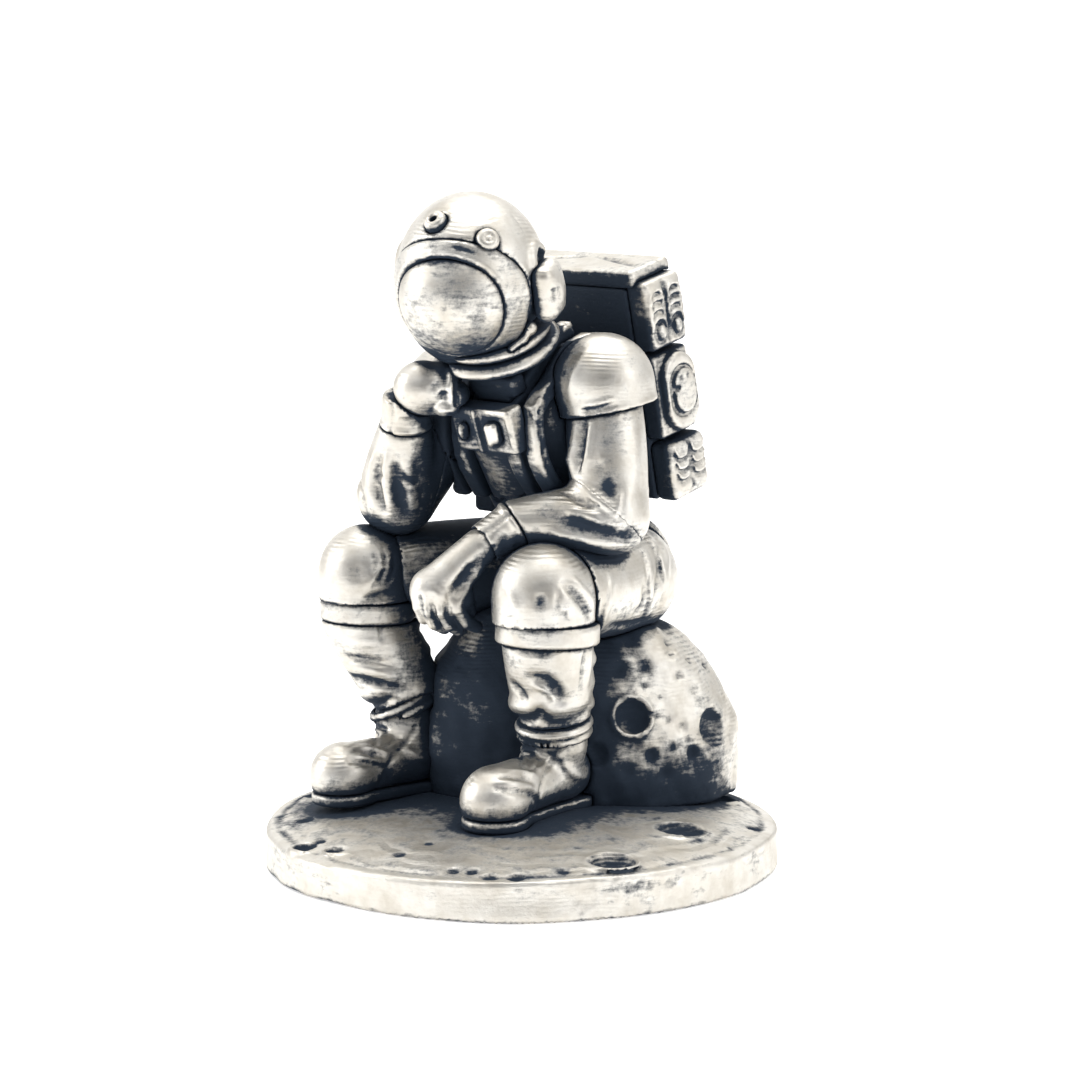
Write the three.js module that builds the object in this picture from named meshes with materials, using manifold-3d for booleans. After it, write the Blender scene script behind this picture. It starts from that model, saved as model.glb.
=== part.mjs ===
// A small cast-silver statuette of a seated, thinking astronaut on a disc of lunar ground.
// The figure faces -Y, its left side is +X, +Z is up and the origin is the centre of the
// base's underside. Units are millimetres. Each sculpted piece of the suit is its own solid,
// and a piece listed earlier keeps its shape while later ones are cut back around it.
import * as THREE from "three";
import { mergeVertices } from "three/addons/utils/BufferGeometryUtils.js";
import Module from "manifold-3d";

const wasm = await Module();
wasm.setup();

// ---- driving dimensions ---------------------------------------------------------------
const SEAM = 0.12;                // clear gap between neighbouring pieces
const MIDLINE = -2.6;             // x of the figure's own centre plane
const ROUND_SIDES = 12;           // facets around a limb, ball or small disc
const WIDE_SIDES = 14;            // facets around the trunk and the neck rings
const BALL_RINGS = 8;
const CAP_STEPS = 3;              // facets from a limb's side to its tip

const BASE = { radius: 15.5, rim: 2.2, crown: 3.5, chamfer: 0.25, sides: 32 };
// Craters: distance from the centre, compass angle in degrees and radius.
const GROUND_CRATERS = [[13.0, -24, 1.5], [11.4, 6, 1.6], [13.6, -107, 1.0], [12.4, 160, 1.4]];
const CRATER_DEPTH = 0.8;

const BOULDER = {
  main: [-0.2, 7.7, 5.2], mainRadii: [8.5, 6.8, 9.2],
  flank: [-3.3, 4.4, 4.8], flankRadii: [5.7, 5.4, 9.6],
  turn: 42, foot: 3.0,
  craters: [[4.5, 4.7, 8.5, 1.3], [7.0, 11.0, 7.2, 1.2], [-5.4, 11.6, 8.0, 1.5]],
};

const HEAD = {
  centre: [-2.8, -1.2, 35.2], radii: [4.75, 4.6, 4.8],   // radii forward, sideways, up
  yaw: 22, pitch: 20,             // degrees turned to the figure's left, and bowed
};
// Helmet fittings are placed from the head's centre: forward, to its left, up.
const VISOR = { at: [2.3, -0.1, -0.45], radii: [3.2, 3.5, 3.5] };
const BRIM = { at: [2.6, -0.1, -0.5], radius: 3.85, halfWidth: 0.6, halfDepth: 0.75 };
const EAR = { forward: 0.1, side: 4.75, up: -0.9, half: [1.35, 0.75, 1.75], corner: 0.4 };
const LATCH = { forward: 1.7, side: 3.75, up: -2.9, radii: [0.8, 0.6, 0.6] };
const PORTS = [
  { name: "upper", at: [1.9, -0.9, 4.3], radius: 0.55 },
  { name: "lower", at: [2.55, 2.4, 3.2], radius: 0.6 },
];
const PORT_HEIGHT = 0.9;

const TRUNK = {
  seat: [MIDLINE, 9.0, 16.8], seatRadii: [5.6, 4.9, 3.8],
  waist: [MIDLINE, 7.4, 20.2], waistRadius: 4.15,
  chest: [MIDLINE, 4.4, 26.2], chestRadius: 4.7,
};
const BELT = { centre: [MIDLINE, 7.6, 19.7], axis: [0, -0.35, 0.94], radius: 4.6, height: 1.5 };
const BUCKLE = { centre: [-3.6, 2.9, 21.7], axis: [-0.2, -1, 0.2], radius: 1.15, height: 1.2 };
const POUCHES = [
  { name: "right", centre: [-6.1, 4.1, 21.3], half: [0.9, 0.8, 1.2] },
  { name: "left", centre: [-1.0, 2.9, 21.4], half: [0.95, 0.8, 1.2] },
];
const CHEST_UNIT = {
  centre: [-1.6, -0.9, 26.1], half: [2.4, 0.7, 1.45], lean: 20,
  knobs: [
    { name: "left", from: [0.85, -0.75, -0.1], radii: [0.5, 0.45, 0.75] },
    { name: "right", from: [-1.5, -0.7, -0.1], radii: [0.35, 0.35, 0.5] },
  ],
};
const COLLAR = { centre: [-1.9, 0.0, 28.6], half: [1.9, 0.7, 0.7] };
const NECK_AXIS = [0.1, -0.42, 0.9];
const NECK_RINGS = [
  { name: "upper", centre: [-2.3, 0.2, 31.3], radius: 3.5, height: 0.9, chamfer: 0.35 },
  { name: "lower", centre: [-2.4, 0.7, 30.1], radius: 3.9, height: 1.1, chamfer: 0.4 },
];
// Two bands a side: distance from the midline, and height of the strap over the shoulder.
const HARNESS = [
  { name: "outer", inset: 3.6, crown: 30.0 },
  { name: "inner", inset: 2.0, crown: 30.6 },
];
const STRAP = { width: 1.2, thickness: 1.0, steps: 9 };

// The pack leans forward with the back; module heights and middles run along its own height.
const PACK = { centre: [MIDLINE, 10.5, 28.0], half: [4.75, 1.85, 7.0], lean: 13 };
const PACK_BAR = { half: [5.3, 1.9, 0.55], overlap: 0.1 };
const PACK_MODULES = [
  { name: "upper", height: 4.4, middle: 4.7 },
  { name: "middle", height: 5.3, middle: -0.4 },
  { name: "lower", height: 3.9, middle: -5.25 },
];
const MODULE_HALF = { width: 0.85, depth: 1.75 };

const ARMS = [
  {
    name: "right",
    shoulder: [-8.3, 2.8, 27.8], shoulderRadius: 2.8,
    elbow: [-9.0, -1.2, 21.4], armRadius: 2.45,
    wrist: [-7.4, -2.2, 25.2], wristRadius: 1.75,
    palm: [-6.5, -2.5, 27.1], knuckles: [-5.1, -2.6, 28.5], palmRadius: 1.75,
  },
  {
    name: "left",
    shoulder: [3.4, 4.3, 28.5], shoulderRadius: 3.0,
    elbow: [5.0, 3.6, 20.9], armRadius: 2.25,
    wrist: [0.3, -1.3, 19.9], wristRadius: 1.45,
    palm: [-1.2, -3.0, 18.2], knuckles: [-2.5, -4.1, 15.9], palmRadius: 1.75,
  },
];

const LEGS = [
  {
    name: "left",
    hip: [0.9, 8.3, 16.2], thighRadius: 3.4,
    knee: [2.8, -0.9, 16.6], kneeRadius: 2.95,
    calf: [2.8, -0.8, 14.0], calfRadius: 2.55,
    shin: [2.5, 0.1, 9.6], shinRadius: 2.3,
    heel: [2.1, 1.5], toe: [2.85, -5.4], heelRadius: 1.75, toeRadius: 2.0,
  },
  {
    name: "right",
    hip: [-5.8, 8.2, 16.1], thighRadius: 3.3,
    knee: [-10.3, -2.7, 16.7], kneeRadius: 2.85,
    calf: [-10.4, -2.7, 14.0], calfRadius: 2.65,
    shin: [-8.7, -1.0, 9.4], shinRadius: 2.3,
    heel: [-7.5, -0.6], toe: [-8.5, -6.6], heelRadius: 1.65, toeRadius: 1.9,
  },
];
const SOLE = { bottom: 3.25, thickness: 0.75, edge: 0.12 };
const BOOT = { heelHeight: 5.4, toeHeight: 5.1, ankleHeight: 7.3 };
const KNEE_BAND = { drop: 2.35, height: 0.95, edge: 0.3 };
const BOOT_COLLAR = { level: 8.3, height: 1.2, edge: 0.35 };

// ---- small vector helpers -------------------------------------------------------------
const vec = (p) => new THREE.Vector3(...p);
const mix = (a, b, t) => vec(a).lerp(vec(b), t).toArray();
const shift = (p, dx, dy, dz) => [p[0] + dx, p[1] + dy, p[2] + dz];
const radians = THREE.MathUtils.degToRad;
const Y_UP = new THREE.Vector3(0, 1, 0);

// Head axes: forward out of the visor, towards the figure's left ear, and up the crown.
const yaw = radians(HEAD.yaw);
const pitch = radians(HEAD.pitch);
const headForward = new THREE.Vector3(
  Math.sin(yaw) * Math.cos(pitch), -Math.cos(yaw) * Math.cos(pitch), -Math.sin(pitch));
const headLeft = new THREE.Vector3(Math.cos(yaw), Math.sin(yaw), 0);
const headUp = new THREE.Vector3().crossVectors(headForward, headLeft);
const headTurn = new THREE.Quaternion().setFromRotationMatrix(
  new THREE.Matrix4().makeBasis(headForward, headLeft, headUp));
const headPoint = (forward, left, up) => vec(HEAD.centre)
  .addScaledVector(headForward, forward)
  .addScaledVector(headLeft, left)
  .addScaledVector(headUp, up).toArray();

// ---- solids ---------------------------------------------------------------------------
// Each shape is a function of how much to swell it, so that it can also cut its neighbours.
function toSolid(geometry) {
  const bare = geometry.index ? geometry.toNonIndexed() : geometry.clone();
  for (const name of Object.keys(bare.attributes)) {
    if (name !== "position") bare.deleteAttribute(name);
  }
  const merged = mergeVertices(bare, 1e-4);
  const triangles = [];
  const index = merged.index.array;
  for (let i = 0; i < index.length; i += 3) {
    const [a, b, c] = [index[i], index[i + 1], index[i + 2]];
    if (a !== b && b !== c && c !== a) triangles.push(a, b, c);
  }
  return new wasm.Manifold(new wasm.Mesh({
    numProp: 3,
    vertProperties: new Float32Array(merged.attributes.position.array),
    triVerts: new Uint32Array(triangles),
  }));
}

function turnTo(direction) {
  return new THREE.Quaternion().setFromUnitVectors(Y_UP, vec(direction).normalize());
}

function placed(geometry, centre, turn) {
  geometry.applyQuaternion(turn);
  geometry.translate(...centre);
  return toSolid(geometry);
}

// A limb: a cone between two round ends.
function limb(from, to, radiusFrom, radiusTo, sides = ROUND_SIDES) {
  return (swell) => {
    const along = vec(to).sub(vec(from));
    const length = along.length();
    const [low, high] = [radiusFrom + swell, radiusTo + swell];
    const profile = [];
    for (let i = 0; i <= CAP_STEPS; i++) {
      const angle = (Math.PI / 2) * (i / CAP_STEPS);
      profile.push(new THREE.Vector2(low * Math.sin(angle), -low * Math.cos(angle)));
    }
    for (let i = 0; i <= CAP_STEPS; i++) {
      const angle = (Math.PI / 2) * (i / CAP_STEPS);
      profile.push(new THREE.Vector2(high * Math.cos(angle), length + high * Math.sin(angle)));
    }
    profile[0].x = 0;
    profile[profile.length - 1].x = 0;
    return placed(new THREE.LatheGeometry(profile, sides), from, turnTo(along.toArray()));
  };
}

function ellipsoid(centre, radii, turn = new THREE.Quaternion()) {
  return (swell) => {
    const ball = new THREE.SphereGeometry(1, ROUND_SIDES, BALL_RINGS);
    ball.scale(radii[0] + swell, radii[1] + swell, radii[2] + swell);
    return placed(ball, centre, turn);
  };
}

// A round plate with chamfered edges, centred on its own middle.
function disc(centre, axis, radius, height, chamfer = 0.2, sides = ROUND_SIDES) {
  return (swell) => {
    const r = radius + swell;
    const h = height / 2 + swell;
    const profile = [
      [0, -h], [r - chamfer, -h], [r, -h + chamfer], [r, h - chamfer], [r - chamfer, h], [0, h],
    ].map(([x, y]) => new THREE.Vector2(x, y));
    return placed(new THREE.LatheGeometry(profile, sides), centre, turnTo(axis));
  };
}

// A ring of six-sided section around the given axis, closed on itself.
function hoop(centre, axis, radius, halfWidth, halfHeight) {
  return (swell) => {
    const profile = [];
    for (let i = 0; i <= 6; i++) {
      const angle = (Math.PI / 3) * i;
      profile.push(new THREE.Vector2(
        radius + (halfWidth + swell) * Math.cos(angle), (halfHeight + swell) * Math.sin(angle)));
    }
    return placed(new THREE.LatheGeometry(profile, 16), centre, turnTo(axis));
  };
}

// A block with its upright corners cut off.
function block(centre, half, turn = new THREE.Quaternion(), corner = 0.25) {
  return (swell) => {
    const [x, y, z] = half.map((value) => value + swell);
    const outline = new THREE.Shape([
      [x, y - corner], [x - corner, y], [corner - x, y], [-x, y - corner],
      [-x, corner - y], [corner - x, -y], [x - corner, -y], [x, corner - y],
    ].map(([px, py]) => new THREE.Vector2(px, py)));
    const body = new THREE.ExtrudeGeometry(outline, { depth: 2 * z, bevelEnabled: false });
    body.translate(0, 0, -z);
    return placed(body, centre, turn);
  };
}

// A flat strap along a smooth path over the body.
function strap(points) {
  return (swell) => {
    const path = new THREE.CatmullRomCurve3(points.map(vec));
    const w = STRAP.width / 2 + swell;
    const t = STRAP.thickness / 2 + swell;
    const section = new THREE.Shape([[w, t], [-w, t], [-w, -t], [w, -t]]
      .map(([x, y]) => new THREE.Vector2(x, y)));
    return toSolid(new THREE.ExtrudeGeometry(section, { steps: STRAP.steps, extrudePath: path }));
  };
}

const joined = (...shapes) => (swell) => shapes.map((shape) => shape(swell))
  .reduce((whole, piece) => whole.add(piece));

// A shape with others cut out of it; the cut faces swell outward with the rest.
const carved = (shape, ...hollows) => (swell) => hollows.map((hollow) => hollow(-swell))
  .reduce((rest, hollow) => rest.subtract(hollow), shape(swell));

// ---- the list of pieces, each cut back around the ones before it ------------------------
const SILVER = 0xc9c8c4;
const OXIDISED = 0x4a5058;
const POLISHED = 0xe6e5e0;
const statuette = new THREE.Group();
const cutters = [];

function largestBody(solid) {
  return solid.decompose().reduce((best, body) => (body.volume() > best.volume() ? body : best));
}

function overlaps(a, b) {
  return [0, 1, 2].every((k) => a.min[k] < b.max[k] && b.min[k] < a.max[k]);
}

function piece(name, shape, colour = SILVER) {
  let solid = shape(0);
  const box = solid.boundingBox();
  for (const cutter of cutters) {
    if (overlaps(box, cutter.box)) solid = solid.subtract(cutter.solid);
  }
  const mesh = largestBody(solid).getMesh();
  const geometry = new THREE.BufferGeometry();
  geometry.setAttribute("position", new THREE.BufferAttribute(mesh.vertProperties, 3));
  geometry.setIndex(new THREE.BufferAttribute(mesh.triVerts, 1));
  geometry.computeVertexNormals();
  const material = new THREE.MeshStandardMaterial({ color: colour, roughness: 0.35, metalness: 1 });
  const node = new THREE.Mesh(geometry, material);
  node.name = name;
  statuette.add(node);
  const swollen = shape(SEAM);
  cutters.push({ solid: swollen, box: swollen.boundingBox() });
}

const SIDES = [[1, "left"], [-1, "right"]];

// ---- helmet ---------------------------------------------------------------------------
piece("visor", ellipsoid(headPoint(...VISOR.at), VISOR.radii, headTurn), POLISHED);
piece("visor_brim", hoop(
  headPoint(...BRIM.at), headForward.toArray(), BRIM.radius, BRIM.halfWidth, BRIM.halfDepth));
for (const port of PORTS) {
  const centre = headPoint(...port.at);
  const outward = vec(centre).sub(vec(HEAD.centre)).toArray();
  piece(`helmet_port_${port.name}`, disc(centre, outward, port.radius, PORT_HEIGHT, 0.15));
}
for (const [side, name] of SIDES) {
  piece(`ear_pod_${name}`, block(
    headPoint(EAR.forward, side * EAR.side, EAR.up), EAR.half, headTurn, EAR.corner));
  piece(`chin_latch_${name}`, ellipsoid(
    headPoint(LATCH.forward, side * LATCH.side, LATCH.up), LATCH.radii, headTurn));
}
piece("helmet_shell", ellipsoid(HEAD.centre, HEAD.radii, headTurn));

// ---- chest unit and belt fittings ---------------------------------------------------------
const leanForward = (degrees) => new THREE.Quaternion().setFromEuler(
  new THREE.Euler(radians(degrees), 0, 0));
const chestTurn = leanForward(CHEST_UNIT.lean);
for (const knob of CHEST_UNIT.knobs) {
  piece(`chest_knob_${knob.name}`, ellipsoid(
    shift(CHEST_UNIT.centre, ...knob.from), knob.radii, chestTurn));
}
piece("chest_control_box", block(CHEST_UNIT.centre, CHEST_UNIT.half, chestTurn));
piece("belt_disc", disc(BUCKLE.centre, BUCKLE.axis, BUCKLE.radius, BUCKLE.height), OXIDISED);
for (const pouch of POUCHES) {
  piece(`belt_pouch_${pouch.name}`, block(pouch.centre, pouch.half), OXIDISED);
}

// ---- arms -----------------------------------------------------------------------------
for (const arm of ARMS) {
  piece(`glove_${arm.name}`, limb(arm.palm, arm.knuckles, arm.palmRadius, arm.palmRadius + 0.25));
  const cuffStart = mix(arm.wrist, arm.elbow, 0.12);
  const cuffEnd = mix(arm.wrist, arm.palm, 0.55);
  piece(`cuff_${arm.name}`, limb(cuffStart, cuffEnd, arm.wristRadius + 0.15, arm.wristRadius));
  piece(`forearm_${arm.name}`, limb(arm.elbow, arm.wrist, arm.armRadius, arm.wristRadius));
  const r = arm.shoulderRadius;
  piece(`shoulder_cap_${arm.name}`, carved(
    ellipsoid(shift(arm.shoulder, 0, 0, -0.2), [r, r, r - 0.1]),
    ellipsoid(shift(arm.shoulder, 0, 0, -4.6), [4, 4, 3])));
  piece(`upper_arm_${arm.name}`,
    limb(arm.elbow, shift(arm.shoulder, 0, 0, -1.0), arm.armRadius, arm.armRadius));
}

// ---- neck, harness and backpack ---------------------------------------------------------
for (const ring of NECK_RINGS) {
  piece(`neck_ring_${ring.name}`, disc(
    ring.centre, NECK_AXIS, ring.radius, ring.height, ring.chamfer, WIDE_SIDES));
}
piece("collar_plate", block(COLLAR.centre, COLLAR.half, chestTurn));

const packTurn = leanForward(PACK.lean);
const packPoint = (x, y, z) => vec([x, y, z]).applyQuaternion(packTurn).add(vec(PACK.centre)).toArray();
for (const [side, name] of SIDES) {
  for (const module of PACK_MODULES) {
    const x = side * (PACK.half[0] + MODULE_HALF.width / 2);
    const half = [MODULE_HALF.width, MODULE_HALF.depth, module.height / 2];
    piece(`backpack_${module.name}_module_${name}`,
      block(packPoint(x, 0, module.middle), half, packTurn, 0.35));
  }
}
const barCentre = packPoint(0, -PACK_BAR.overlap, PACK.half[2] + PACK_BAR.overlap);
piece("backpack_top_bar", block(barCentre, PACK_BAR.half, packTurn));
piece("backpack_body", block(PACK.centre, PACK.half, packTurn));

// A strap rises from the pack, passes over the shoulder and runs down the chest to the belt.
for (const [side, name] of SIDES) {
  for (const band of HARNESS) {
    const x = MIDLINE + side * band.inset;
    piece(`harness_${band.name}_${name}`, strap([
      [x, 7.9, 29.6], [x, 6.0, band.crown + 0.9], [x, 3.6, band.crown + 0.6],
      [x, 1.6, band.crown - 1.4], [x, 0.0, 27.2], [x + side * 0.2, 0.3, 24.2],
      [x + side * 0.3, 2.0, 21.8],
    ]));
  }
}

// ---- legs -----------------------------------------------------------------------------
function sole(leg) {
  const level = SOLE.bottom + SOLE.thickness / 2;
  const [heel, toe] = [[...leg.heel, level], [...leg.toe, level]];
  const span = vec(toe).sub(vec(heel));
  const turn = new THREE.Quaternion().setFromAxisAngle(
    new THREE.Vector3(0, 0, 1), Math.atan2(span.y, span.x));
  const waist = [span.length() / 2, leg.heelRadius - 0.15, SOLE.thickness / 2 - 0.02];
  return joined(
    disc(heel, [0, 0, 1], leg.heelRadius, SOLE.thickness, SOLE.edge),
    disc(toe, [0, 0, 1], leg.toeRadius, SOLE.thickness, SOLE.edge),
    block(mix(heel, toe, 0.5), waist, turn));
}

function boot(leg) {
  const [heel, toe] = [[...leg.heel, BOOT.heelHeight], [...leg.toe, BOOT.toeHeight]];
  const instep = shift(heel, 0, -1.2, -0.1);
  const ankle = mix(heel, [leg.shin[0], leg.shin[1], BOOT.ankleHeight + 0.3], 0.9);
  return joined(
    limb(heel, toe, leg.heelRadius - 0.1, leg.toeRadius - 0.2),
    limb(instep, ankle, leg.heelRadius, leg.shinRadius - 0.3));
}

for (const leg of LEGS) {
  piece(`boot_sole_${leg.name}`, sole(leg), OXIDISED);
  piece(`boot_${leg.name}`, boot(leg));
  piece(`boot_collar_${leg.name}`, disc(
    [leg.shin[0], leg.shin[1] + 0.1, BOOT_COLLAR.level], vec(leg.calf).sub(vec(leg.shin)).toArray(),
    leg.shinRadius + 0.05, BOOT_COLLAR.height, BOOT_COLLAR.edge));
  piece(`knee_band_${leg.name}`, disc(shift(leg.knee, 0, 0.15, -KNEE_BAND.drop), [0, 0.05, 1],
    leg.kneeRadius - 0.05, KNEE_BAND.height, KNEE_BAND.edge));
  const r = leg.kneeRadius;
  piece(`knee_pad_${leg.name}`, carved(
    ellipsoid(leg.knee, [r, r, r]), ellipsoid(shift(leg.knee, 0, 0.3, -4.6), [4.5, 4.5, 2.8])));
  piece(`lower_leg_${leg.name}`, limb(leg.shin, leg.calf, leg.shinRadius, leg.calfRadius));
  piece(`thigh_${leg.name}`, limb(
    leg.hip, mix(leg.hip, leg.knee, 0.88), leg.thighRadius, leg.kneeRadius - 0.1));
}

// ---- trunk ----------------------------------------------------------------------------
piece("waist_belt", disc(
  BELT.centre, BELT.axis, BELT.radius, BELT.height, 0.5, WIDE_SIDES), OXIDISED);
piece("torso", limb(
  TRUNK.waist, TRUNK.chest, TRUNK.waistRadius, TRUNK.chestRadius, WIDE_SIDES));
piece("hips", ellipsoid(TRUNK.seat, TRUNK.seatRadii));

// ---- boulder and ground -----------------------------------------------------------------
const boulderTurn = new THREE.Quaternion().setFromAxisAngle(
  new THREE.Vector3(0, 0, 1), radians(BOULDER.turn));
const underFoot = block([0, 0, BOULDER.foot - 10], [30, 30, 10]);
piece("boulder", carved(
  joined(ellipsoid(BOULDER.main, BOULDER.mainRadii, boulderTurn),
    ellipsoid(BOULDER.flank, BOULDER.flankRadii, boulderTurn)),
  underFoot, ...BOULDER.craters.map(([x, y, z, r]) => ellipsoid([x, y, z], [r, r, r]))), OXIDISED);

function ground() {
  const profile = [[0, 0], [BASE.radius - 0.2, 0], [BASE.radius, 0.2],
    [BASE.radius, BASE.rim - 0.15], [BASE.radius - BASE.chamfer, BASE.rim], [12.5, BASE.rim + 0.6],
    [8.5, BASE.crown - 0.3], [4.0, BASE.crown - 0.05], [0, BASE.crown]]
    .map(([x, z]) => new THREE.Vector2(x, z));
  const body = new THREE.LatheGeometry(profile, BASE.sides);
  body.rotateX(Math.PI / 2);
  return toSolid(body);
}

const craters = GROUND_CRATERS.map(([distance, angle, radius]) => ellipsoid(
  [distance * Math.cos(radians(angle)), distance * Math.sin(radians(angle)), BASE.crown - 0.6],
  [radius, radius, CRATER_DEPTH]));
piece("lunar_ground", carved(ground, ...craters), OXIDISED);

export default statuette;
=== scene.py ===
"""The looks of a seated astronaut statuette in oxidised cast silver.

Every CAD node is replaced by one sculpted piece. A piece is a distance field in millimetres,
made of simple volumes with folds, seams and fittings pressed into it, and it is cut back
around the pieces before it, as the CAD is. The skin of each field is meshed here.
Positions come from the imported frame: a node's middle plus a small offset.
"""
import math
from concurrent.futures import ThreadPoolExecutor

import bpy
import numpy as np
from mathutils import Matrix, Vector


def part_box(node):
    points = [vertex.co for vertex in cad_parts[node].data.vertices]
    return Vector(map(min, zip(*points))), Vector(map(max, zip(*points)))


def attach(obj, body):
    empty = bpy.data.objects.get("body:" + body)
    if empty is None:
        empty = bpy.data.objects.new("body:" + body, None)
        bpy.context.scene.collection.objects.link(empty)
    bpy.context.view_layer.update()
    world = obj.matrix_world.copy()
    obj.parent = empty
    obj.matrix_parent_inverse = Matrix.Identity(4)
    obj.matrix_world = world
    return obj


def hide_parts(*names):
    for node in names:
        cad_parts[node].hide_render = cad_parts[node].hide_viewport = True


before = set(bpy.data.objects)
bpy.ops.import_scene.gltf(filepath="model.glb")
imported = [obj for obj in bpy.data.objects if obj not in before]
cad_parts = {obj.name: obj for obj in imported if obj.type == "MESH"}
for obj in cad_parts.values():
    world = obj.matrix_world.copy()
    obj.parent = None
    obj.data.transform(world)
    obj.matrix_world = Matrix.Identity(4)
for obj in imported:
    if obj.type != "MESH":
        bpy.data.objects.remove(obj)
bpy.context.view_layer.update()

MM = 0.001
GRID = 0.165    # mesh spacing, mm
SEAM = 0.045                            # gap between neighbouring pieces
WORKERS = 4

BOX = {name: [np.array(corner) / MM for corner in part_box(name)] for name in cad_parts}


def at(node, dx=0.0, dy=0.0, dz=0.0):
    low, high = BOX[node]
    return (low + high) / 2 + np.array([dx, dy, dz])


def half_size(node):
    low, high = BOX[node]
    return (high - low) / 2


# the figure is turned a quarter away: these are its own left and front, seen from the front left
ACROSS, FRONT = np.array([0.743, 0.669, 0]), np.array([0.669, -0.743, 0])
QUARTER = np.array([ACROSS, FRONT, (0, 0, 1)], np.float32)


def quarter(node, across, front, up):
    return at(node) + across * ACROSS + front * FRONT + np.array([0, 0, up])


def facing(form, node, *places, reach=7.0):
    """Points on a form, met by coming in from the front left at (across, up) from a node's middle."""
    p = np.array([quarter(node, across, reach, up) for across, up in places]).T.astype(np.float32)
    for _ in range(50):
        p = p - col(FRONT) * np.clip(0.9 * form(p), 0, 1)
    return list(p.T)


# ---- volumes: functions of points (3, n) that give a signed distance -------------------------
def col(v):
    return np.asarray(v, np.float32).reshape(3, 1)


def unit(v):
    v = np.asarray(v, float)
    return v / np.linalg.norm(v)


def turned(forward, left):
    """Rows of a local frame: forward, left, up."""
    forward, left = unit(forward), unit(left)
    return np.array([forward, left, np.cross(forward, left)], np.float32)


def lean(degrees):
    """A frame whose x stays and whose up tips forward (-y)."""
    a = math.radians(degrees)
    return np.array([[1, 0, 0], [0, math.cos(a), math.sin(a)], [0, -math.sin(a), math.cos(a)]], np.float32)


def spun(degrees):
    a = math.radians(degrees)
    return np.array([[math.cos(a), math.sin(a), 0], [-math.sin(a), math.cos(a), 0], [0, 0, 1]], np.float32)


FLAT = np.eye(3, dtype=np.float32)


def local(origin, axes):
    """A function that turns a frame's own coordinates into a place."""
    return lambda x, y, z: origin + np.array([x, y, z]) @ axes.astype(float)


def length(q):
    return np.sqrt((q * q).sum(0))


def limb(a, b, ra, rb, swell=0.0):
    a, b = col(a), col(b)
    ab = b - a
    n = float((ab * ab).sum())

    def f(p):
        q = p - a
        t = np.clip((q * ab).sum(0) / n, 0, 1)
        return length(q - ab * t) - (ra + (rb - ra) * t + 4 * swell * t * (1 - t))
    return f


def egg(c, radii, axes=FLAT):
    c, r = col(c), col(radii)

    def f(p):
        q = axes @ (p - c)
        k0 = length(q / r) + 1e-6
        k1 = length(q / (r * r)) + 1e-6
        return k0 * (k0 - 1) / k1
    return f


def block(c, half, axes=FLAT, r=0.25):
    c, half = col(c), col(half) - r

    def f(p):
        q = np.abs(axes @ (p - c)) - half
        return length(np.maximum(q, 0)) + np.minimum(q.max(0), 0) - r
    return f


def axial(p, c, axis):
    q = p - c
    h = (q * axis).sum(0)
    return h, length(q - axis * h)


def rounded(u, v, r):
    """The distance to a corner rounded by r, from the distances past its two sides."""
    u, v = u + r, v + r
    return np.hypot(np.maximum(u, 0), np.maximum(v, 0)) + np.minimum(np.maximum(u, v), 0) - r


def puck(c, axis, radius, half, r=0.2):
    c, axis = col(c), col(unit(axis))

    def f(p):
        h, rad = axial(p, c, axis)
        return rounded(rad - radius, np.abs(h) - half, r)
    return f


def hoop(c, axis, radius, across, along):
    """A ring of oval section: half its width in its plane, half its height on its axis."""
    c, axis = col(c), col(unit(axis))

    def f(p):
        h, rad = axial(p, c, axis)
        u, v = rad - radius, h
        k0 = np.hypot(u / across, v / along) + 1e-6
        k1 = np.hypot(u / across ** 2, v / along ** 2) + 1e-6
        return k0 * (k0 - 1) / k1
    return f


def band(points, side, wide, thick, r=0.25):
    """A flat strap along a path; side is the direction of its width."""
    pts = [col(p) for p in points]
    side = col(unit(side))

    def f(p):
        best = np.full(p.shape[1], 1e9, np.float32)
        for a, b in zip(pts, pts[1:]):
            ab = b - a
            t = np.clip(((p - a) * ab).sum(0) / float((ab * ab).sum()), 0, 1)
            q = p - a - ab * t
            s = (q * side).sum(0)
            best = np.minimum(best, rounded(np.abs(s) - wide, length(q - side * s) - thick, r))
        return best
    return f


def blend(a, b, k):
    if k <= 0:
        return np.minimum(a, b)
    h = np.maximum(k - np.abs(a - b), 0) / k
    return np.minimum(a, b) - h * h * k / 4


def merged(k, *forms):
    def f(p):
        d = forms[0](p)
        for g in forms[1:]:
            d = blend(d, g(p), k)
        return d
    return f


def carved(form, *hollows, k=0.1):
    def f(p):
        d = form(p)
        for g in hollows:
            d = -blend(-d, g(p), k)
        return d
    return f


def past(point, direction):
    """How far a point lies past a plane; as a limit it keeps the side before the plane."""
    point, direction = col(point), col(direction)
    return lambda p: ((p - point) * direction).sum(0)


def above(level):
    return lambda p: level - p[2]


def thicker(form, amount):
    return lambda p: form(p) - amount


def chain(points, ra, rb=None):
    """Limbs through points, one after the other."""
    return [limb(a, b, ra, ra if rb is None else rb) for a, b in zip(points, points[1:])]


def kept(form, *limits, k=0.1):
    """The part of a form inside all the limits."""
    def f(p):
        d = form(p)
        for g in limits:
            d = -blend(-d, -g(p), k)
        return d
    return f


# ---- marks: soft ridges (+) and grooves (-) along a line on the surface ----------------------
def gradient(f, p, d, eps=0.03):
    g = np.empty_like(p)
    for k in range(3):
        q = p.copy()
        q[k] += eps
        g[k] = (f(q) - d) / eps
    return g


def settle(f, p, steps, limit):
    """Moves points onto the surface of a field."""
    for _ in range(steps):
        d = f(p)
        g = gradient(f, p, d)
        move = -d * g / np.maximum((g * g).sum(0), 0.2)
        reach = length(move)
        p = p + move * np.minimum(1, limit / np.maximum(reach, 1e-9))
    return p


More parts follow.
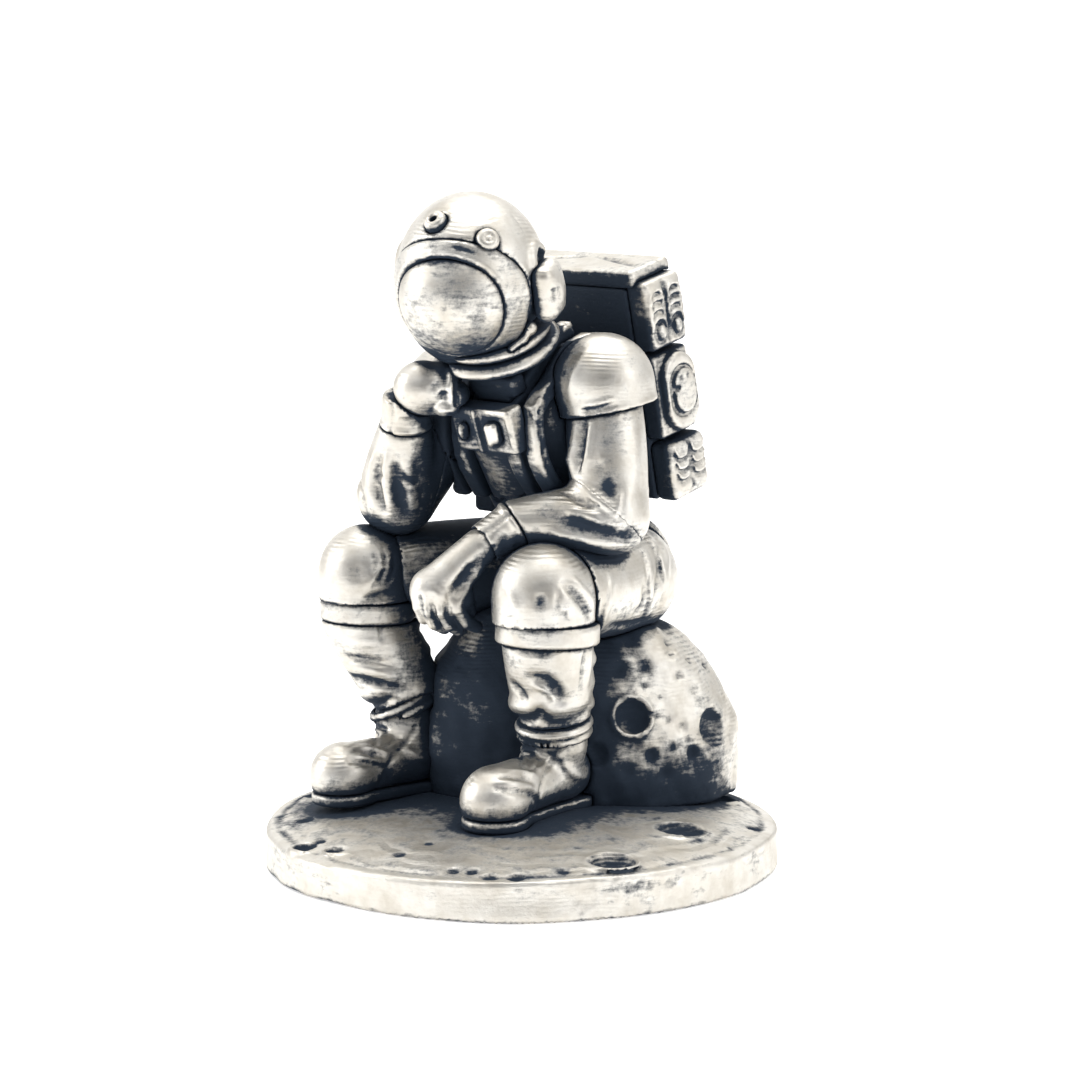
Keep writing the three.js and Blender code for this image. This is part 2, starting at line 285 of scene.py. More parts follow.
def smooth_path(points, step=0.3):
    """A Catmull-Rom curve through points, as (3, n)."""
    pts = np.array([np.asarray(q, float) for q in points])
    if len(pts) < 2:
        return pts.T.astype(np.float32)
    ends = np.vstack([2 * pts[0] - pts[1], pts, 2 * pts[-1] - pts[-2]])
    out = [pts[0]]
    for a, b, c, d in zip(ends, ends[1:], ends[2:], ends[3:]):
        n = max(2, int(np.linalg.norm(c - b) / step))
        for t in np.linspace(0, 1, n + 1)[1:]:
            out.append(0.5 * ((2 * b) + (c - a) * t + (2 * a - 5 * b + 4 * c - d) * t * t
                              + (3 * b - a - 3 * c + d) * t ** 3))
    return np.array(out).T.astype(np.float32)


def mark(points, width, height, fade=True, stain=None):
    """The last value: how dark the mark leaves the metal. Grooves keep oxide and ridges are rubbed bright;
    some flat marks are painted shade, painted highlights and painted reflections.
    """
    return {"points": points, "width": width, "height": height, "fade": fade,
            "stain": (-2.8 if height < 0 else -1.2) * height if stain is None else stain}


def seam(points, width=0.13, depth=0.22):
    return mark(points, width, -depth, False)


def strokes(form, node, rows):
    """Marks from rows: the mark's own numbers, then places on the form as facing() takes them."""
    return [mark(facing(form, node, *places), *numbers) for numbers, *places in rows]


def lines(place, rows):
    """Marks from rows: the mark's own numbers, then coordinates in a local frame."""
    return [mark([place(*xyz) for xyz in points], *numbers) for numbers, *points in rows]


def pressed(form, marks):
    """A form with its marks laid on its surface."""
    paths = []
    for m in marks:
        path = settle(form, smooth_path(m["points"]), 3, 0.8)
        along = np.r_[0, np.cumsum(length(np.diff(path, axis=1)))]
        along = along / max(along[-1], 1e-6)
        reach = 2.4 * m["width"]
        paths.append((path, along, path.min(1) - reach, path.max(1) + reach, m))

    def relief(p):
        height, stain = np.zeros(p.shape[1], np.float32), np.zeros(p.shape[1], np.float32)
        for path, along, low, high, m in paths:
            near = np.all((p > low[:, None]) & (p < high[:, None]), axis=0)
            if not near.any():
                continue
            q = p[:, near]
            best = np.full(q.shape[1], 1e9, np.float32)
            where = np.full(q.shape[1], 0.5, np.float32)
            if path.shape[1] == 1:
                best = ((q - path) ** 2).sum(0)
            for i in range(path.shape[1] - 1):
                a, ab = path[:, i:i + 1], path[:, i + 1:i + 2] - path[:, i:i + 1]
                t = np.clip(((q - a) * ab).sum(0) / max(float((ab * ab).sum()), 1e-9), 0, 1)
                r = q - a - ab * t
                dist = (r * r).sum(0)
                closer = dist < best
                best = np.where(closer, dist, best)
                where = np.where(closer, along[i] + (along[i + 1] - along[i]) * t, where)
            amount = np.exp(-best / m["width"] ** 2)
            if m["fade"] and path.shape[1] > 1:
                amount = amount * np.sqrt(np.clip(np.sin(np.pi * np.clip(where, 0.02, 0.98)), 0, 1))
            height[near] += m["height"] * amount
            stain[near] += m["stain"] * amount
        return height, stain

    def f(p):
        return form(p) - relief(p)[0]
    f.relief = relief
    return f


class Rod:
    """A limb with its own coordinates: t from 0 to 1 along it, and an angle around it.

    Angle 0 looks along `front`, and +90 towards the figure's left (+x)."""

    def __init__(self, a, b, ra, rb, front=(0, -1, 0), swell=0.0):
        self.a, self.b, self.ra, self.rb = np.asarray(a, float), np.asarray(b, float), ra, rb
        axis = unit(self.b - self.a)
        self.u = unit(np.asarray(front, float) - axis * np.dot(front, axis))
        v = np.cross(axis, self.u)
        self.v = v if v[0] > 0 else -v
        self.swell = swell
        self.form = limb(a, b, ra, rb, swell)

    def on(self, t, angle):
        r = self.ra + (self.rb - self.ra) * t + 4 * self.swell * t * (1 - t)
        s = math.radians(angle)
        return self.a + (self.b - self.a) * t + r * (math.cos(s) * self.u + math.sin(s) * self.v)

    def arc(self, *stops):
        """A line over the limb through (t, angle) stops."""
        out = []
        for (t0, a0), (t1, a1) in zip(stops, stops[1:]):
            n = max(1, int(abs(a1 - a0) / 20))
            out += [self.on(t0 + (t1 - t0) * i / n, a0 + (a1 - a0) * i / n) for i in range(n)]
        return out + [self.on(*stops[-1])]

    def fold(self, stops, width=0.35, height=0.35, crease=0.6):
        """A swell of cloth with a crease on its far side."""
        shift = 1.15 * width / np.linalg.norm(self.b - self.a)
        return [mark(self.arc(*stops), width, height),
                mark(self.arc(*[(t + shift, a) for t, a in stops]), 0.6 * width, -crease * height)]


# ---- the list of pieces ------------------------------------------------------------------------
PIECES = []


def piece(node, form, slot, marks=(), fine=1.0, grow=0.5, gap=SEAM, relief=None, skip=""):
    form = pressed(form, marks) if marks else form
    relief = relief or getattr(form, "relief", None)
    low, high = BOX[node]
    low, high = low - grow, high + grow
    cutters = [c for c in PIECES if c["node"] != skip and np.all(c["low"] < high) and np.all(c["high"] > low)]

    def field(p):
        d = form(p)
        for c in cutters:
            inside = np.all((p > c["low"][:, None]) & (p < c["high"][:, None]), axis=0)
            if inside.any():
                d[inside] = -blend(-d[inside], c["form"](p[:, inside]) - c["gap"], c["soft"])
        return d

    PIECES.append({"node": node, "form": form, "field": field, "low": low.astype(np.float32),
                   "high": high.astype(np.float32), "slot": slot, "fine": fine,
                   "gap": gap, "soft": 0.2 if gap == SEAM else 0.02, "relief": relief})


SIDES = ((1, "left"), (-1, "right"))

# helmet
HEAD = at("helmet_shell", 0, -0.38, -0.02)
YAW, BOW = math.radians(22), math.radians(20)
FORWARD = np.array([math.sin(YAW) * math.cos(BOW), -math.cos(YAW) * math.cos(BOW), -math.sin(BOW)])
LEFT = np.array([math.cos(YAW), math.sin(YAW), 0])
HEAD_AXES = turned(FORWARD, LEFT)
head = local(HEAD, HEAD_AXES)


def radial(point):
    return unit(np.asarray(point) - HEAD)


def rim(p):
    """A flared band round the visor, wider at the sides than above and below."""
    q = HEAD_AXES @ (p - col(HEAD))
    f, y, z = q[0], q[1] + 0.1, q[2] + 0.5
    r = np.hypot(y, z) + 1e-6
    top, low = np.maximum(z / r, 0) ** 2, np.maximum(-z / r, 0) ** 2
    side = 1 - top - low

    def around(beside, over_it, under):
        return beside * side + over_it * top + under * low

    mf, mr = around(2.25, 3.5, 2.6), around(3.58, 3.53, 3.85)
    df, dr = around(-0.918, -0.563, -0.535), around(0.397, 0.825, 0.845)
    half, thick = around(0.95, 0.55, 0.8), around(0.38, 0.36, 0.3)
    n = np.hypot(df, dr)
    df, dr = df / n, dr / n
    along = (f - mf) * df + (r - mr) * dr
    over = (r - mr) * df - (f - mf) * dr
    return np.hypot(along - np.clip(along, thick - half, half - thick), over) - thick


lip = hoop(head(3.0, -0.1, -0.5), FORWARD, 3.3, 0.2, 0.34)
brim = merged(0.25, rim, lip)
piece("visor_brim", brim, "cast_suit", lines(head, [
    ((0.13, -0.14, True, 1.3), (3.7, 0.5, 3.35), (3.6, 1.2, 3.15), (3.4, 1.9, 2.75)),
    ((0.11, -0.07, True, 0.45), (3.9, -1.5, 3.25), (3.95, -0.9, 3.4), (3.95, -0.3, 3.45)),
    ((0.2, 0.14, False), (1.6, 3.2, -2.2), (1.7, 3.9, -0.5), (1.7, 3.6, 1.5), (2.2, 2.6, 2.8)),
]))

piece("visor", egg(head(2.3, -0.1, -0.45), (3.2, 3.5, 3.5), HEAD_AXES), "polished_visor", lines(head, [
    # a wide flat mark painted dark on the front of the visor: a painted reflection
    ((1.1, 0.0, True, 0.35), (5.2, 0.9, 1.2)),
    ((0.5, 0.0, True, 0.2), (4.4, 2.3, 0.9), (4.7, 1.8, -1.6), (4.4, 0.6, -3.0), (4.3, -1.6, -2.9)),
    ((0.1, -0.03, True, 0.3), (5.3, 0.3, 0.2), (5.4, 0.1, -0.3)),
]))

for name, spot, ring, hole in (("upper", (2.15, -0.9, 4.1), 0.4, 0.22), ("lower", (2.5, 2.3, 3.2), 0.4, 0.0)):
    centre = head(*spot)
    out = radial(centre)
    base = egg(centre, (ring + 0.3,) * 3)
    lip = hoop(centre + 0.32 * out, out, ring, 0.13, 0.13)
    form = merged(0.2, kept(base, past(centre + 0.34 * out, out)), lip)
    if hole:
        form = carved(form, limb(centre - 0.3 * out, centre + 1.5 * out, hole, hole))
    else:
        form = merged(0.08, form, egg(centre + 0.32 * out, (0.2, 0.2, 0.16), HEAD_AXES))
    piece(f"helmet_port_{name}", form, "cast_equipment", fine=0.75)

for side, name in SIDES:
    pod = head(0.1, 4.72, -0.95) if side > 0 else head(-0.7, -3.95, -0.95)
    form = merged(0.3, block(pod, (1.3, 0.72, 1.75), HEAD_AXES, 0.7),
                  egg(pod + 0.25 * side * LEFT, (1.05, 0.75, 1.45), HEAD_AXES))
    piece(f"ear_pod_{name}", form, "cast_suit", lines(local(pod, HEAD_AXES), [
        ((0.12, -0.25, False), (0.98, side * 0.75, 0.45), (1.0, side * 0.75, -0.2)),
        ((0.1, -0.15, False), (0.55, side * 0.85, 0.35), (0.55, side * 0.85, -0.15)),
    ]), fine=0.9, grow=1.0)
    bulb = head(1.55, 3.85, -2.75) if side > 0 else head(0.9, -3.0, -3.0)
    from_bulb = local(bulb, HEAD_AXES)
    bend, tip = from_bulb(0.45, -0.35 * side, -0.5), from_bulb(1.2, -0.85 * side, -0.8)
    arm = merged(0.15, egg(bulb, (0.42, 0.42, 0.45), HEAD_AXES), limb(bulb, bend, 0.26, 0.28),
                 limb(bend, tip, 0.28, 0.2))
    piece(f"chin_latch_{name}", arm, "cast_equipment", [mark([bulb], 0.5, 0.0, stain=-0.8)], fine=0.8,
          grow=1.0)

shell = egg(HEAD, (4.75, 4.35, 4.8), HEAD_AXES)
marks = []
for side, name in SIDES:
    marks += lines(head, [
        ((0.28, 0.55, False), (0.75, side * 4.5, 0.6), (0.45, side * 4.5, 1.5), (-0.5, side * 4.5, 1.85),
         (-1.3, side * 4.3, 1.1)),
        ((0.26, -0.4, False), (0.2, side * 4.5, 0.9), (-0.3, side * 4.5, 1.2), (-0.8, side * 4.4, 0.9)),
        ((0.09, -0.1, False), (-0.42, side * 3.04, 3.69), (-0.15, side * 3.6, 3.2), (0.05, side * 4.0, 2.65)),
        ((0.25, 0.25), (0.9, side * 4.3, -2.9), (0.1, side * 4.3, -3.1), (-1.2, side * 4.2, -2.9)),
    ])
piece("helmet_shell", shell, "cast_suit", marks)

# chest unit and belt fittings
CHEST = at("chest_control_box")
CHEST_AXES = lean(20)
chest = local(CHEST, CHEST_AXES)
piece("chest_knob_left", merged(0.12, block(chest(0.68, -0.72, -0.1), (0.26, 0.4, 0.72), CHEST_AXES, 0.24),
                                block(chest(1.06, -0.68, 0.0), (0.26, 0.36, 0.66), CHEST_AXES, 0.24)),
      "cast_equipment", [mark([chest(0.9, -1.05, 0.3)], 0.6, 0.0, stain=-0.9)], fine=0.8)
piece("chest_knob_right", merged(0.15, egg(chest(-1.5, -0.75, 0.0), (0.22, 0.4, 0.55), CHEST_AXES),
                                 limb(chest(-1.75, -0.6, -0.45), chest(-1.35, -0.7, 0.25), 0.22, 0.16)),
      "cast_equipment", fine=0.8)
unit_box = carved(
    merged(0.1, block(CHEST, (2.35, 0.68, 1.42), CHEST_AXES, 0.22),
           limb(chest(-0.35, -0.68, -1.25), chest(-0.35, -0.68, 1.25), 0.2, 0.2)),
    block(chest(1.05, -0.85, 0.0), (0.95, 0.28, 1.05), CHEST_AXES, 0.2),
    block(chest(-1.5, -0.85, 0.15), (0.7, 0.28, 0.85), CHEST_AXES, 0.2), k=0.08)
piece("chest_control_box", unit_box, "cast_equipment", lines(chest, [
    ((0.12, 0.14, False), (-2.1, -0.62, -0.8), (-1.0, -0.62, -0.8)),
    ((0.1, 0.12, False), (-2.1, -0.62, -1.15), (-0.9, -0.62, -1.15)),
    ((0.1, -0.12, False), (-0.1, -0.6, -1.2), (-0.1, -0.6, 1.2)),
    # a wide flat mark painted dark on the front of the box, under the chin and the fist: painted shade
    ((2.0, 0.0, True, 0.4), (-0.6, -0.7, -0.1)),
]), fine=0.9)

DISC = at("belt_disc")
DISC_AXIS = unit((-0.2, -1, 0.2))
piece("belt_disc", merged(0.08, puck(DISC, DISC_AXIS, 1.12, 0.55, 0.2),
                          hoop(DISC + 0.55 * DISC_AXIS, DISC_AXIS, 0.85, 0.14, 0.16),
                          egg(DISC + 0.5 * DISC_AXIS, (0.4, 0.28, 0.4))), "cast_equipment", fine=0.8)
for side, name in SIDES:
    pouch = at(f"belt_pouch_{name}")
    half = half_size(f"belt_pouch_{name}")
    piece(f"belt_pouch_{name}", merged(0.15, block(pouch, half * (0.95, 0.9, 0.97), FLAT, 0.35),
                                       block(pouch + (0, -0.12, 0.55), half * (1.0, 1.0, 0.5), FLAT, 0.3)),
          "cast_equipment", fine=0.9)

# arms
ARM = {
    "right": dict(shoulder=at("shoulder_cap_right", 0, 0, -0.21),
                  elbow=at("forearm_right", -0.3, 0.13, -0.69),
                  cap=2.8, arm=2.4, wrist=1.45),
    "left": dict(shoulder=at("shoulder_cap_left", -0.37, -0.33, 0.14),
                 elbow=at("forearm_left", 0.88, 1.01, 0.09),
                 cap=3.0, arm=2.12, wrist=1.4),
}

# The right hand is a fist under the chin: a round back, knuckles, and fingers rolled in at the end.
fist = local(at("glove_right"), QUARTER)
mass = merged(0.5, egg(fist(0.25, 0.2, 0.4), (1.75, 1.6, 1.6), QUARTER),
              egg(fist(1.45, 0.35, 0.7), (0.9, 1.7, 1.2), QUARTER),
              limb(fist(-0.1, 0.1, 0.3), fist(-0.2, -0.5, -0.2), 1.4, 1.1))
rolled = merged(0.15, limb(fist(1.85, 1.35, 1.3), fist(1.9, 1.4, -0.2), 0.34, 0.36),
                egg(fist(2.35, 0.4, -0.05), (0.6, 1.3, 0.85), QUARTER),
                egg(fist(1.7, 0.6, -0.75), (0.9, 1.2, 0.5), QUARTER))
form = merged(0.25, mass, rolled)
piece("glove_right", form, "cast_suit", strokes(form, "glove_right", [
    ((0.2, -0.5, True, 1.1), (1.5, 1.5), (1.5, 1.1), (1.48, 0.7)),
    ((0.2, -0.4, True, 1.0), (1.42, 0.35), (1.42, 0.0)),
    ((0.22, -0.2), (0.75, 0.5), (1.05, 0.75), (1.4, 1.0)),
    ((0.14, -0.22), (2.15, 1.0), (2.12, 0.4), (2.2, -0.5)),
    ((0.3, 0.1), (-0.2, -0.9), (0.8, -1.1), (1.6, -0.9)),
    ((0.12, -0.08), (-0.95, -0.1)),
    ((0.24, 0.12, True, -0.8), (1.8, 1.5), (1.85, 0.7), (1.95, -0.2)),
    ((0.45, 0.06, True, -0.4), (0.9, -0.6), (1.7, -0.5)),
    # a wide flat mark painted bright over the top of the fist: a painted highlight
    ((0.8, 0.0, True, -0.8), (-1.2, 1.2), (-0.2, 1.5), (0.9, 1.5)),
]), fine=0.85)


# The left hand hangs over the knee: a flat back, a hollow beside the thumb, fingers that curl under.
hand = local(at("glove_left"), QUARTER)
FINGERS = (((-2.0, 0.2, -0.5), (-1.98, 0.4, -1.2), (-1.75, 0.1, -1.95)),
           ((-1.6, 0.7, -0.4), (-1.5, 0.85, -1.35), (-1.15, 0.5, -2.2), (-0.6, 0.0, -2.6)),
           ((-0.9, 0.85, -0.4), (-0.75, 0.95, -1.4), (-0.35, 0.6, -2.25), (0.2, 0.0, -2.7)),
           ((-0.1, 0.7, -0.4), (0.15, 0.75, -1.3), (0.65, 0.35, -2.15), (1.3, -0.4, -2.6)))
digits = [limb(hand(*start), hand(*end), 0.52 - 0.05 * i, 0.48 - 0.05 * i)
          for points in FINGERS for i, (start, end) in enumerate(zip(points, points[1:]))]
back = merged(0.5, limb(hand(1.5, 0.1, 2.25), hand(-1.2, -0.05, -0.35), 1.12, 1.38),
              limb(hand(-1.5, 0.15, -0.15), hand(0.2, 0.0, -0.7), 0.95, 1.0),
              limb(hand(-0.9, -0.5, -1.2), hand(0.5, -0.6, -1.6), 0.8, 0.8))
form = merged(0.25, back, merged(0.08, *digits))
piece("glove_left", form, "cast_suit", strokes(form, "glove_left", [
    ((0.13, -0.25), (-2.0, -0.35), (-1.9, -1.0), (-1.85, -1.6), (-1.6, -2.2)),
    ((0.14, -0.32), (-1.33, -1.0), (-1.1, -1.8), (-0.8, -2.4), (-0.2, -2.8)),
    ((0.14, -0.32), (-0.58, -0.95), (-0.25, -1.9), (0.4, -2.6)),
    ((0.32, -0.5, True, 1.0), (1.3, 1.4), (0.75, 0.7), (0.25, 0.0), (-0.1, -0.5)),
    ((0.17, 0.26), (1.7, 1.2), (1.2, 0.4), (0.6, -0.4), (0.35, -0.9)),
    ((0.3, 0.1), (-1.6, 0.2), (-0.8, -0.4), (-0.1, -0.9)),
]), fine=0.85)

CUFF = {"right": (quarter("cuff_right", 0.05, 0.3, 0.85), quarter("cuff_right", 0.12, 1.0, 2.75), 1.5, 1.46),
        "left": (hand(3.65, -0.3, 3.65), hand(1.55, -0.05, 2.3), 1.42, 1.22)}
for side, name in reversed(SIDES):
    a = ARM[name]
    start, end, wide, narrow = CUFF[name]
    cuff = Rod(start, end, wide, narrow, front=FRONT)
    run = end - start
    tube = kept(limb(start - run, end + run, 2 * wide - narrow, 2 * narrow - wide),
                past(start, -unit(run)), past(end, unit(run)), k=0.25)
    form = merged(0.12, tube, hoop(start + 0.2 * unit(run), run, wide - 0.16, 0.26, 0.22))
    piece(f"cuff_{name}", form, "cast_suit", [
        mark(cuff.arc((0.05, -35), (0.5, -30), (0.95, -35)), 0.13, -0.2, False),
        mark(cuff.arc((0.45, -20), (0.5, 25), (0.6, 60)), 0.3, -0.14),
        mark([cuff.on(0.3, 50)], 0.13, -0.16), mark([cuff.on(0.75, 15)], 0.1, -0.1),
    ], fine=0.9)
    straight = start if side > 0 else start + 0.4 * unit(run)
    fore = Rod(a["elbow"], straight, a["arm"], a["wrist"], front=FRONT, swell=0.12)
    upper = Rod(a["elbow"], a["shoulder"] + (0, 0, -1.0), a["arm"], a["arm"] + 0.1, front=FRONT, swell=0.2)
    if side > 0:
        node = "upper_arm_left"
        ridge = [quarter(node, *q) for q in ((-2.3, 0.6, 2.9), (-2.45, 0.8, 1.7), (-2.7, 0.9, 0.6),
                                             (-2.45, 1.0, -0.1))]
        fold = merged(0.1, *chain(ridge, 0.42))
        arm = merged(0.35, merged(0.7, fore.form, upper.form), fold)
        marks = strokes(arm, "upper_arm_left", [
            ((0.26, -0.42), (-2.1, 2.9), (-2.2, 1.6), (-2.35, 0.2)),
            ((0.2, 0.34), (-1.6, 2.85), (-1.75, 1.8), (-1.9, 0.8), (-2.2, 0.0)),
            # a faint ridge painted far brighter than its height: a painted highlight
            ((0.3, 0.05, True, -0.6), (-1.3, 0.95), (-0.9, 0.9)),
            ((0.4, -0.06, True, 0.4), (-1.5, 0.4), (-0.9, 0.1)),
            ((0.5, -0.15, True, 1.4), (-0.9, -0.3), (-0.6, -0.9), (-0.3, -1.4)),
            ((0.22, 0.34), (-2.6, -0.55), (-1.9, -1.0), (-1.3, -1.5), (-0.3, -2.15)),
            ((0.2, -0.4), (-3.3, -1.2), (-2.1, -1.75), (-1.3, -1.95)),
            ((0.16, 0.2), (0.0, -1.0), (-0.1, -1.9), (-0.35, -2.6)),
            ((0.35, 0.3), (-3.4, -1.9), (-2.4, -2.3), (-1.5, -2.6), (-0.9, -3.2)),
            ((0.4, -0.3), (-3.6, -2.9), (-2.2, -3.1), (-1.0, -3.5), (0.0, -3.6)),
            ((0.35, 0.25), (-4.2, -3.5), (-2.6, -3.9), (-1.0, -4.3), (0.4, -4.3)),
            # a faint ridge painted far brighter than its height: a painted highlight
            ((0.4, 0.08, True, -0.3), (0.6, -0.8), (0.3, -2.2)),
            # flat marks painted dark down the arm: painted shade
            ((0.65, 0.0, True, 0.7), (-5.4, -2.4), (-4.0, -2.4), (-2.4, -2.6), (-1.4, -3.0)),
            ((0.8, 0.0, True, 0.55), (-0.7, 2.6), (-0.5, 1.0), (-0.8, -0.6)),
            ((0.6, 0.0, True, 0.5), (0.9, -3.0), (0.2, -4.0)),
            # a faint ridge painted far brighter than its height: a painted highlight
            ((0.5, 0.08, True, -0.3), (0.9, 3.0), (1.1, 0.5), (0.9, -1.6)),
        ])
    else:
        arm = merged(0.3, fore.form, upper.form)
        marks = strokes(arm, "forearm_right", [
            ((0.3, 0.32), (-1.5, 2.0), (-1.75, 0.5), (-1.4, -1.4)),
            ((0.22, -0.34), (-1.0, 2.3), (-1.25, 0.7), (-0.9, -1.3)),
            ((0.26, 0.3), (-0.55, 2.2), (-0.75, 0.6), (-0.45, -1.5)),
            ((0.16, -0.2), (-0.95, 0.9)),
            ((0.14, -0.2), (-0.75, 0.3)),
            # a wide flat mark painted dark down the forearm: painted shade
            ((1.3, 0.0, True, 0.45), (0.2, 1.8), (0.3, 0.0), (0.4, -1.8)),
            ((0.28, -0.3), (-0.1, 1.8), (0.0, 0.2), (0.35, -1.6)),
            ((0.22, -0.25), (0.1, 1.0), (0.7, 0.6), (1.2, 0.5)),
            ((0.35, 0.25), (0.5, 2.0), (0.8, 0.2), (0.9, -1.5)),
            ((0.25, -0.25), (-2.2, 1.0), (-2.3, -0.4), (-1.9, -1.8)),
        ])
    marks += upper.fold([(0.2, side * 100), (0.1, side * 150), (0.15, side * 200)], 0.4, 0.3)
    marks += upper.fold([(0.5, side * 110), (0.42, side * 150), (0.5, side * 210)], 0.4, 0.25)
    arm = pressed(arm, marks)
    # one skin for the whole arm, parted in the crook of the elbow
    part = unit(unit(straight - a["elbow"]) - unit(upper.b - a["elbow"]))
    under = kept(thicker(arm, -0.04), past(a["elbow"] - 0.3 * part, -part), k=0.02)
    whole = merged(0, kept(arm, past(a["elbow"], -part), k=0.02), under)
    piece(f"forearm_{name}", whole, "cast_suit", grow=1.2, gap=0.012, relief=arm.relief)
    tilt = unit(-0.2 * side * ACROSS + (0, 0, 1)) if side > 0 else np.array([0, 0, 1.0])
    skirt = a["shoulder"] - 1.5 * tilt
    cap = kept(merged(0.35, egg(a["shoulder"] + (0, 0, -0.15), (a["cap"], a["cap"], a["cap"] - 0.1)),
                      limb(a["shoulder"] - 0.6 * tilt, skirt - 0.8 * tilt, a["cap"] - 0.12, a["cap"] + 0.02)),
               past(skirt - 0.25 * tilt, -tilt), k=0.12)
    piece(f"shoulder_cap_{name}", cap, "cast_suit", strokes(cap, f"shoulder_cap_{name}", [
        ((0.16, -0.34), (side * -1.7, -1.5), (side * -0.8, -1.35), (side * 0.0, -1.05)),
        ((0.16, 0.14), (side * -1.9, -1.2), (side * -0.9, -1.0), (side * 0.1, -0.7)),
        ((0.3, 0.12), (side * -1.3, 2.2), (side * -2.2, 0.8), (side * -2.5, -0.8)),
    ]), grow=0.9)
    piece(f"upper_arm_{name}", kept(arm, past(a["elbow"], part), k=0.02), "cast_suit", grow=2.2,
          relief=arm.relief, skip=f"forearm_{name}")

# neck, harness and backpack
NECK_AXIS = unit((0.1, -0.42, 0.9))
for name, radius, height, lift in (("upper", 3.45, 0.4, 0.35), ("lower", 3.75, 0.45, 0.7)):
    centre = at(f"neck_ring_{name}", 0, 0, lift)
    piece(f"neck_ring_{name}", merged(0.25, puck(centre, NECK_AXIS, radius - 0.25, height, 0.3),
                                      hoop(centre, NECK_AXIS, radius - 0.35, 0.36, 0.32)), "cast_suit",
          grow=1.0)
plate = at("collar_plate", 0, -0.04, 0.06)
half = half_size("collar_plate")
piece("collar_plate", merged(0.1, block(plate, (half[0] * 0.95, 0.62, 0.62), CHEST_AXES, 0.25),
                             block(plate + (0, 0.1, -0.45), (half[0] * 0.72, 0.6, 0.5), CHEST_AXES, 0.2)),
      "cast_equipment")

PACK = at("backpack_body", 0, -0.06, 0.28)
PACK_AXES = lean(13)
pack = local(PACK, PACK_AXES)
FACE = 6.02


def pill(c, deep, wide, tall, r=0.2):
    """A flat-faced boss with round ends, on the side of the pack."""
    c = col(c)

    def f(p):
        q = np.abs(PACK_AXES @ (p - c))
        return rounded(np.hypot(q[1], np.maximum(q[2] - (tall - wide), 0)) - wide, q[0] - deep, r)
    return f


def arch(x, y, z, wide, tall, down=False):
    s = -1 if down else 1
    return [pack(x, y - wide, z - s * tall), pack(x, y - 0.8 * wide, z - s * 0.25 * tall), pack(x, y, z),
            pack(x, y + 0.8 * wide, z - s * 0.25 * tall), pack(x, y + wide, z - s * tall)]


def oval(x, y, z, wide, tall):
    steps = [2 * math.pi * i / 12 for i in range(13)]
    return [pack(x, y + wide * math.cos(s), z + tall * math.sin(s)) for s in steps]


for side, name in SIDES:
    x = side * FACE
    # upper: two columns of stacked arches that end in oval pads
    form = block(pack(side * 5.17, 0, 4.7), (0.8, 1.7, 2.15), PACK_AXES, 0.4)
    pads = [egg(pack(x - side * 0.12, y, 3.65), (0.3, 0.4, 0.55), PACK_AXES) for y in (-0.72, 0.8)]
    marks = [seam([pack(x, 0.02, 3.1), pack(x, 0.0, 6.5)], 0.16, 0.3)]
    for y in (-0.8, 0.82):
        for z, wide in ((4.5, 0.62), (5.15, 0.64), (5.75, 0.62), (6.3, 0.55)):
            marks.append(mark(arch(x, y, z, wide, 0.65), 0.14, 0.2, False))
            marks.append(mark(arch(x, y, z - 0.28, wide * 0.8, 0.5), 0.12, -0.16, False))
        marks.append(mark(oval(x, y * 0.95, 3.65, 0.52, 0.68), 0.1, -0.18, False))
    piece(f"backpack_upper_module_{name}", merged(0.1, form, *pads), "cast_equipment", marks, fine=0.8)
    # middle: a long oval boss with a notched plate on it
    form = merged(0.05, block(pack(side * 5.0, 0, -0.4), (0.7, 1.7, 2.6), PACK_AXES, 0.3),
                  pill(pack(side * 5.6, 0.15, -0.35), 0.65, 1.5, 2.45, 0.3))
    form = carved(form, pill(pack(side * 6.3, 0.2, -0.35), 0.22, 1.2, 1.65, 0.15), k=0.1)
    plate_form = carved(pill(pack(side * 6.0, 0.3, -0.35), 0.4, 0.98, 1.4, 0.2),
                        limb(pack(side * 6.4, -0.85, 0.0), pack(side * 6.4, -0.4, -0.05), 0.26, 0.2), k=0.06)
    marks = [mark([pack(side * 6.4, y, 0.55)], 0.15, -0.1, stain=0.9) for y in (0.0, 0.65)]
    piece(f"backpack_middle_module_{name}", merged(0.04, form, plate_form), "cast_equipment", marks, fine=0.8)
    # lower: two columns of hanging scallops
    form = merged(0.15, block(pack(side * 5.17, 0, -5.15), (0.8, 1.7, 1.85), PACK_AXES, 0.45),
                  block(pack(side * 5.55, 0.15, -5.0), (0.5, 1.5, 1.6), PACK_AXES, 0.3))
    marks = [seam([pack(x, 0.15, -3.6), pack(x, 0.15, -6.5)], 0.12, 0.2)]
    for y in (-0.6, 0.9):
        for z in (-4.55, -5.25, -5.9):
            marks.append(mark(arch(x, y, z, 0.62, 0.5, down=True), 0.12, -0.22, False))
            marks.append(mark(arch(x, y, z + 0.22, 0.55, 0.45, down=True), 0.14, 0.16, False))
    piece(f"backpack_lower_module_{name}", form, "cast_equipment", marks, fine=0.8)

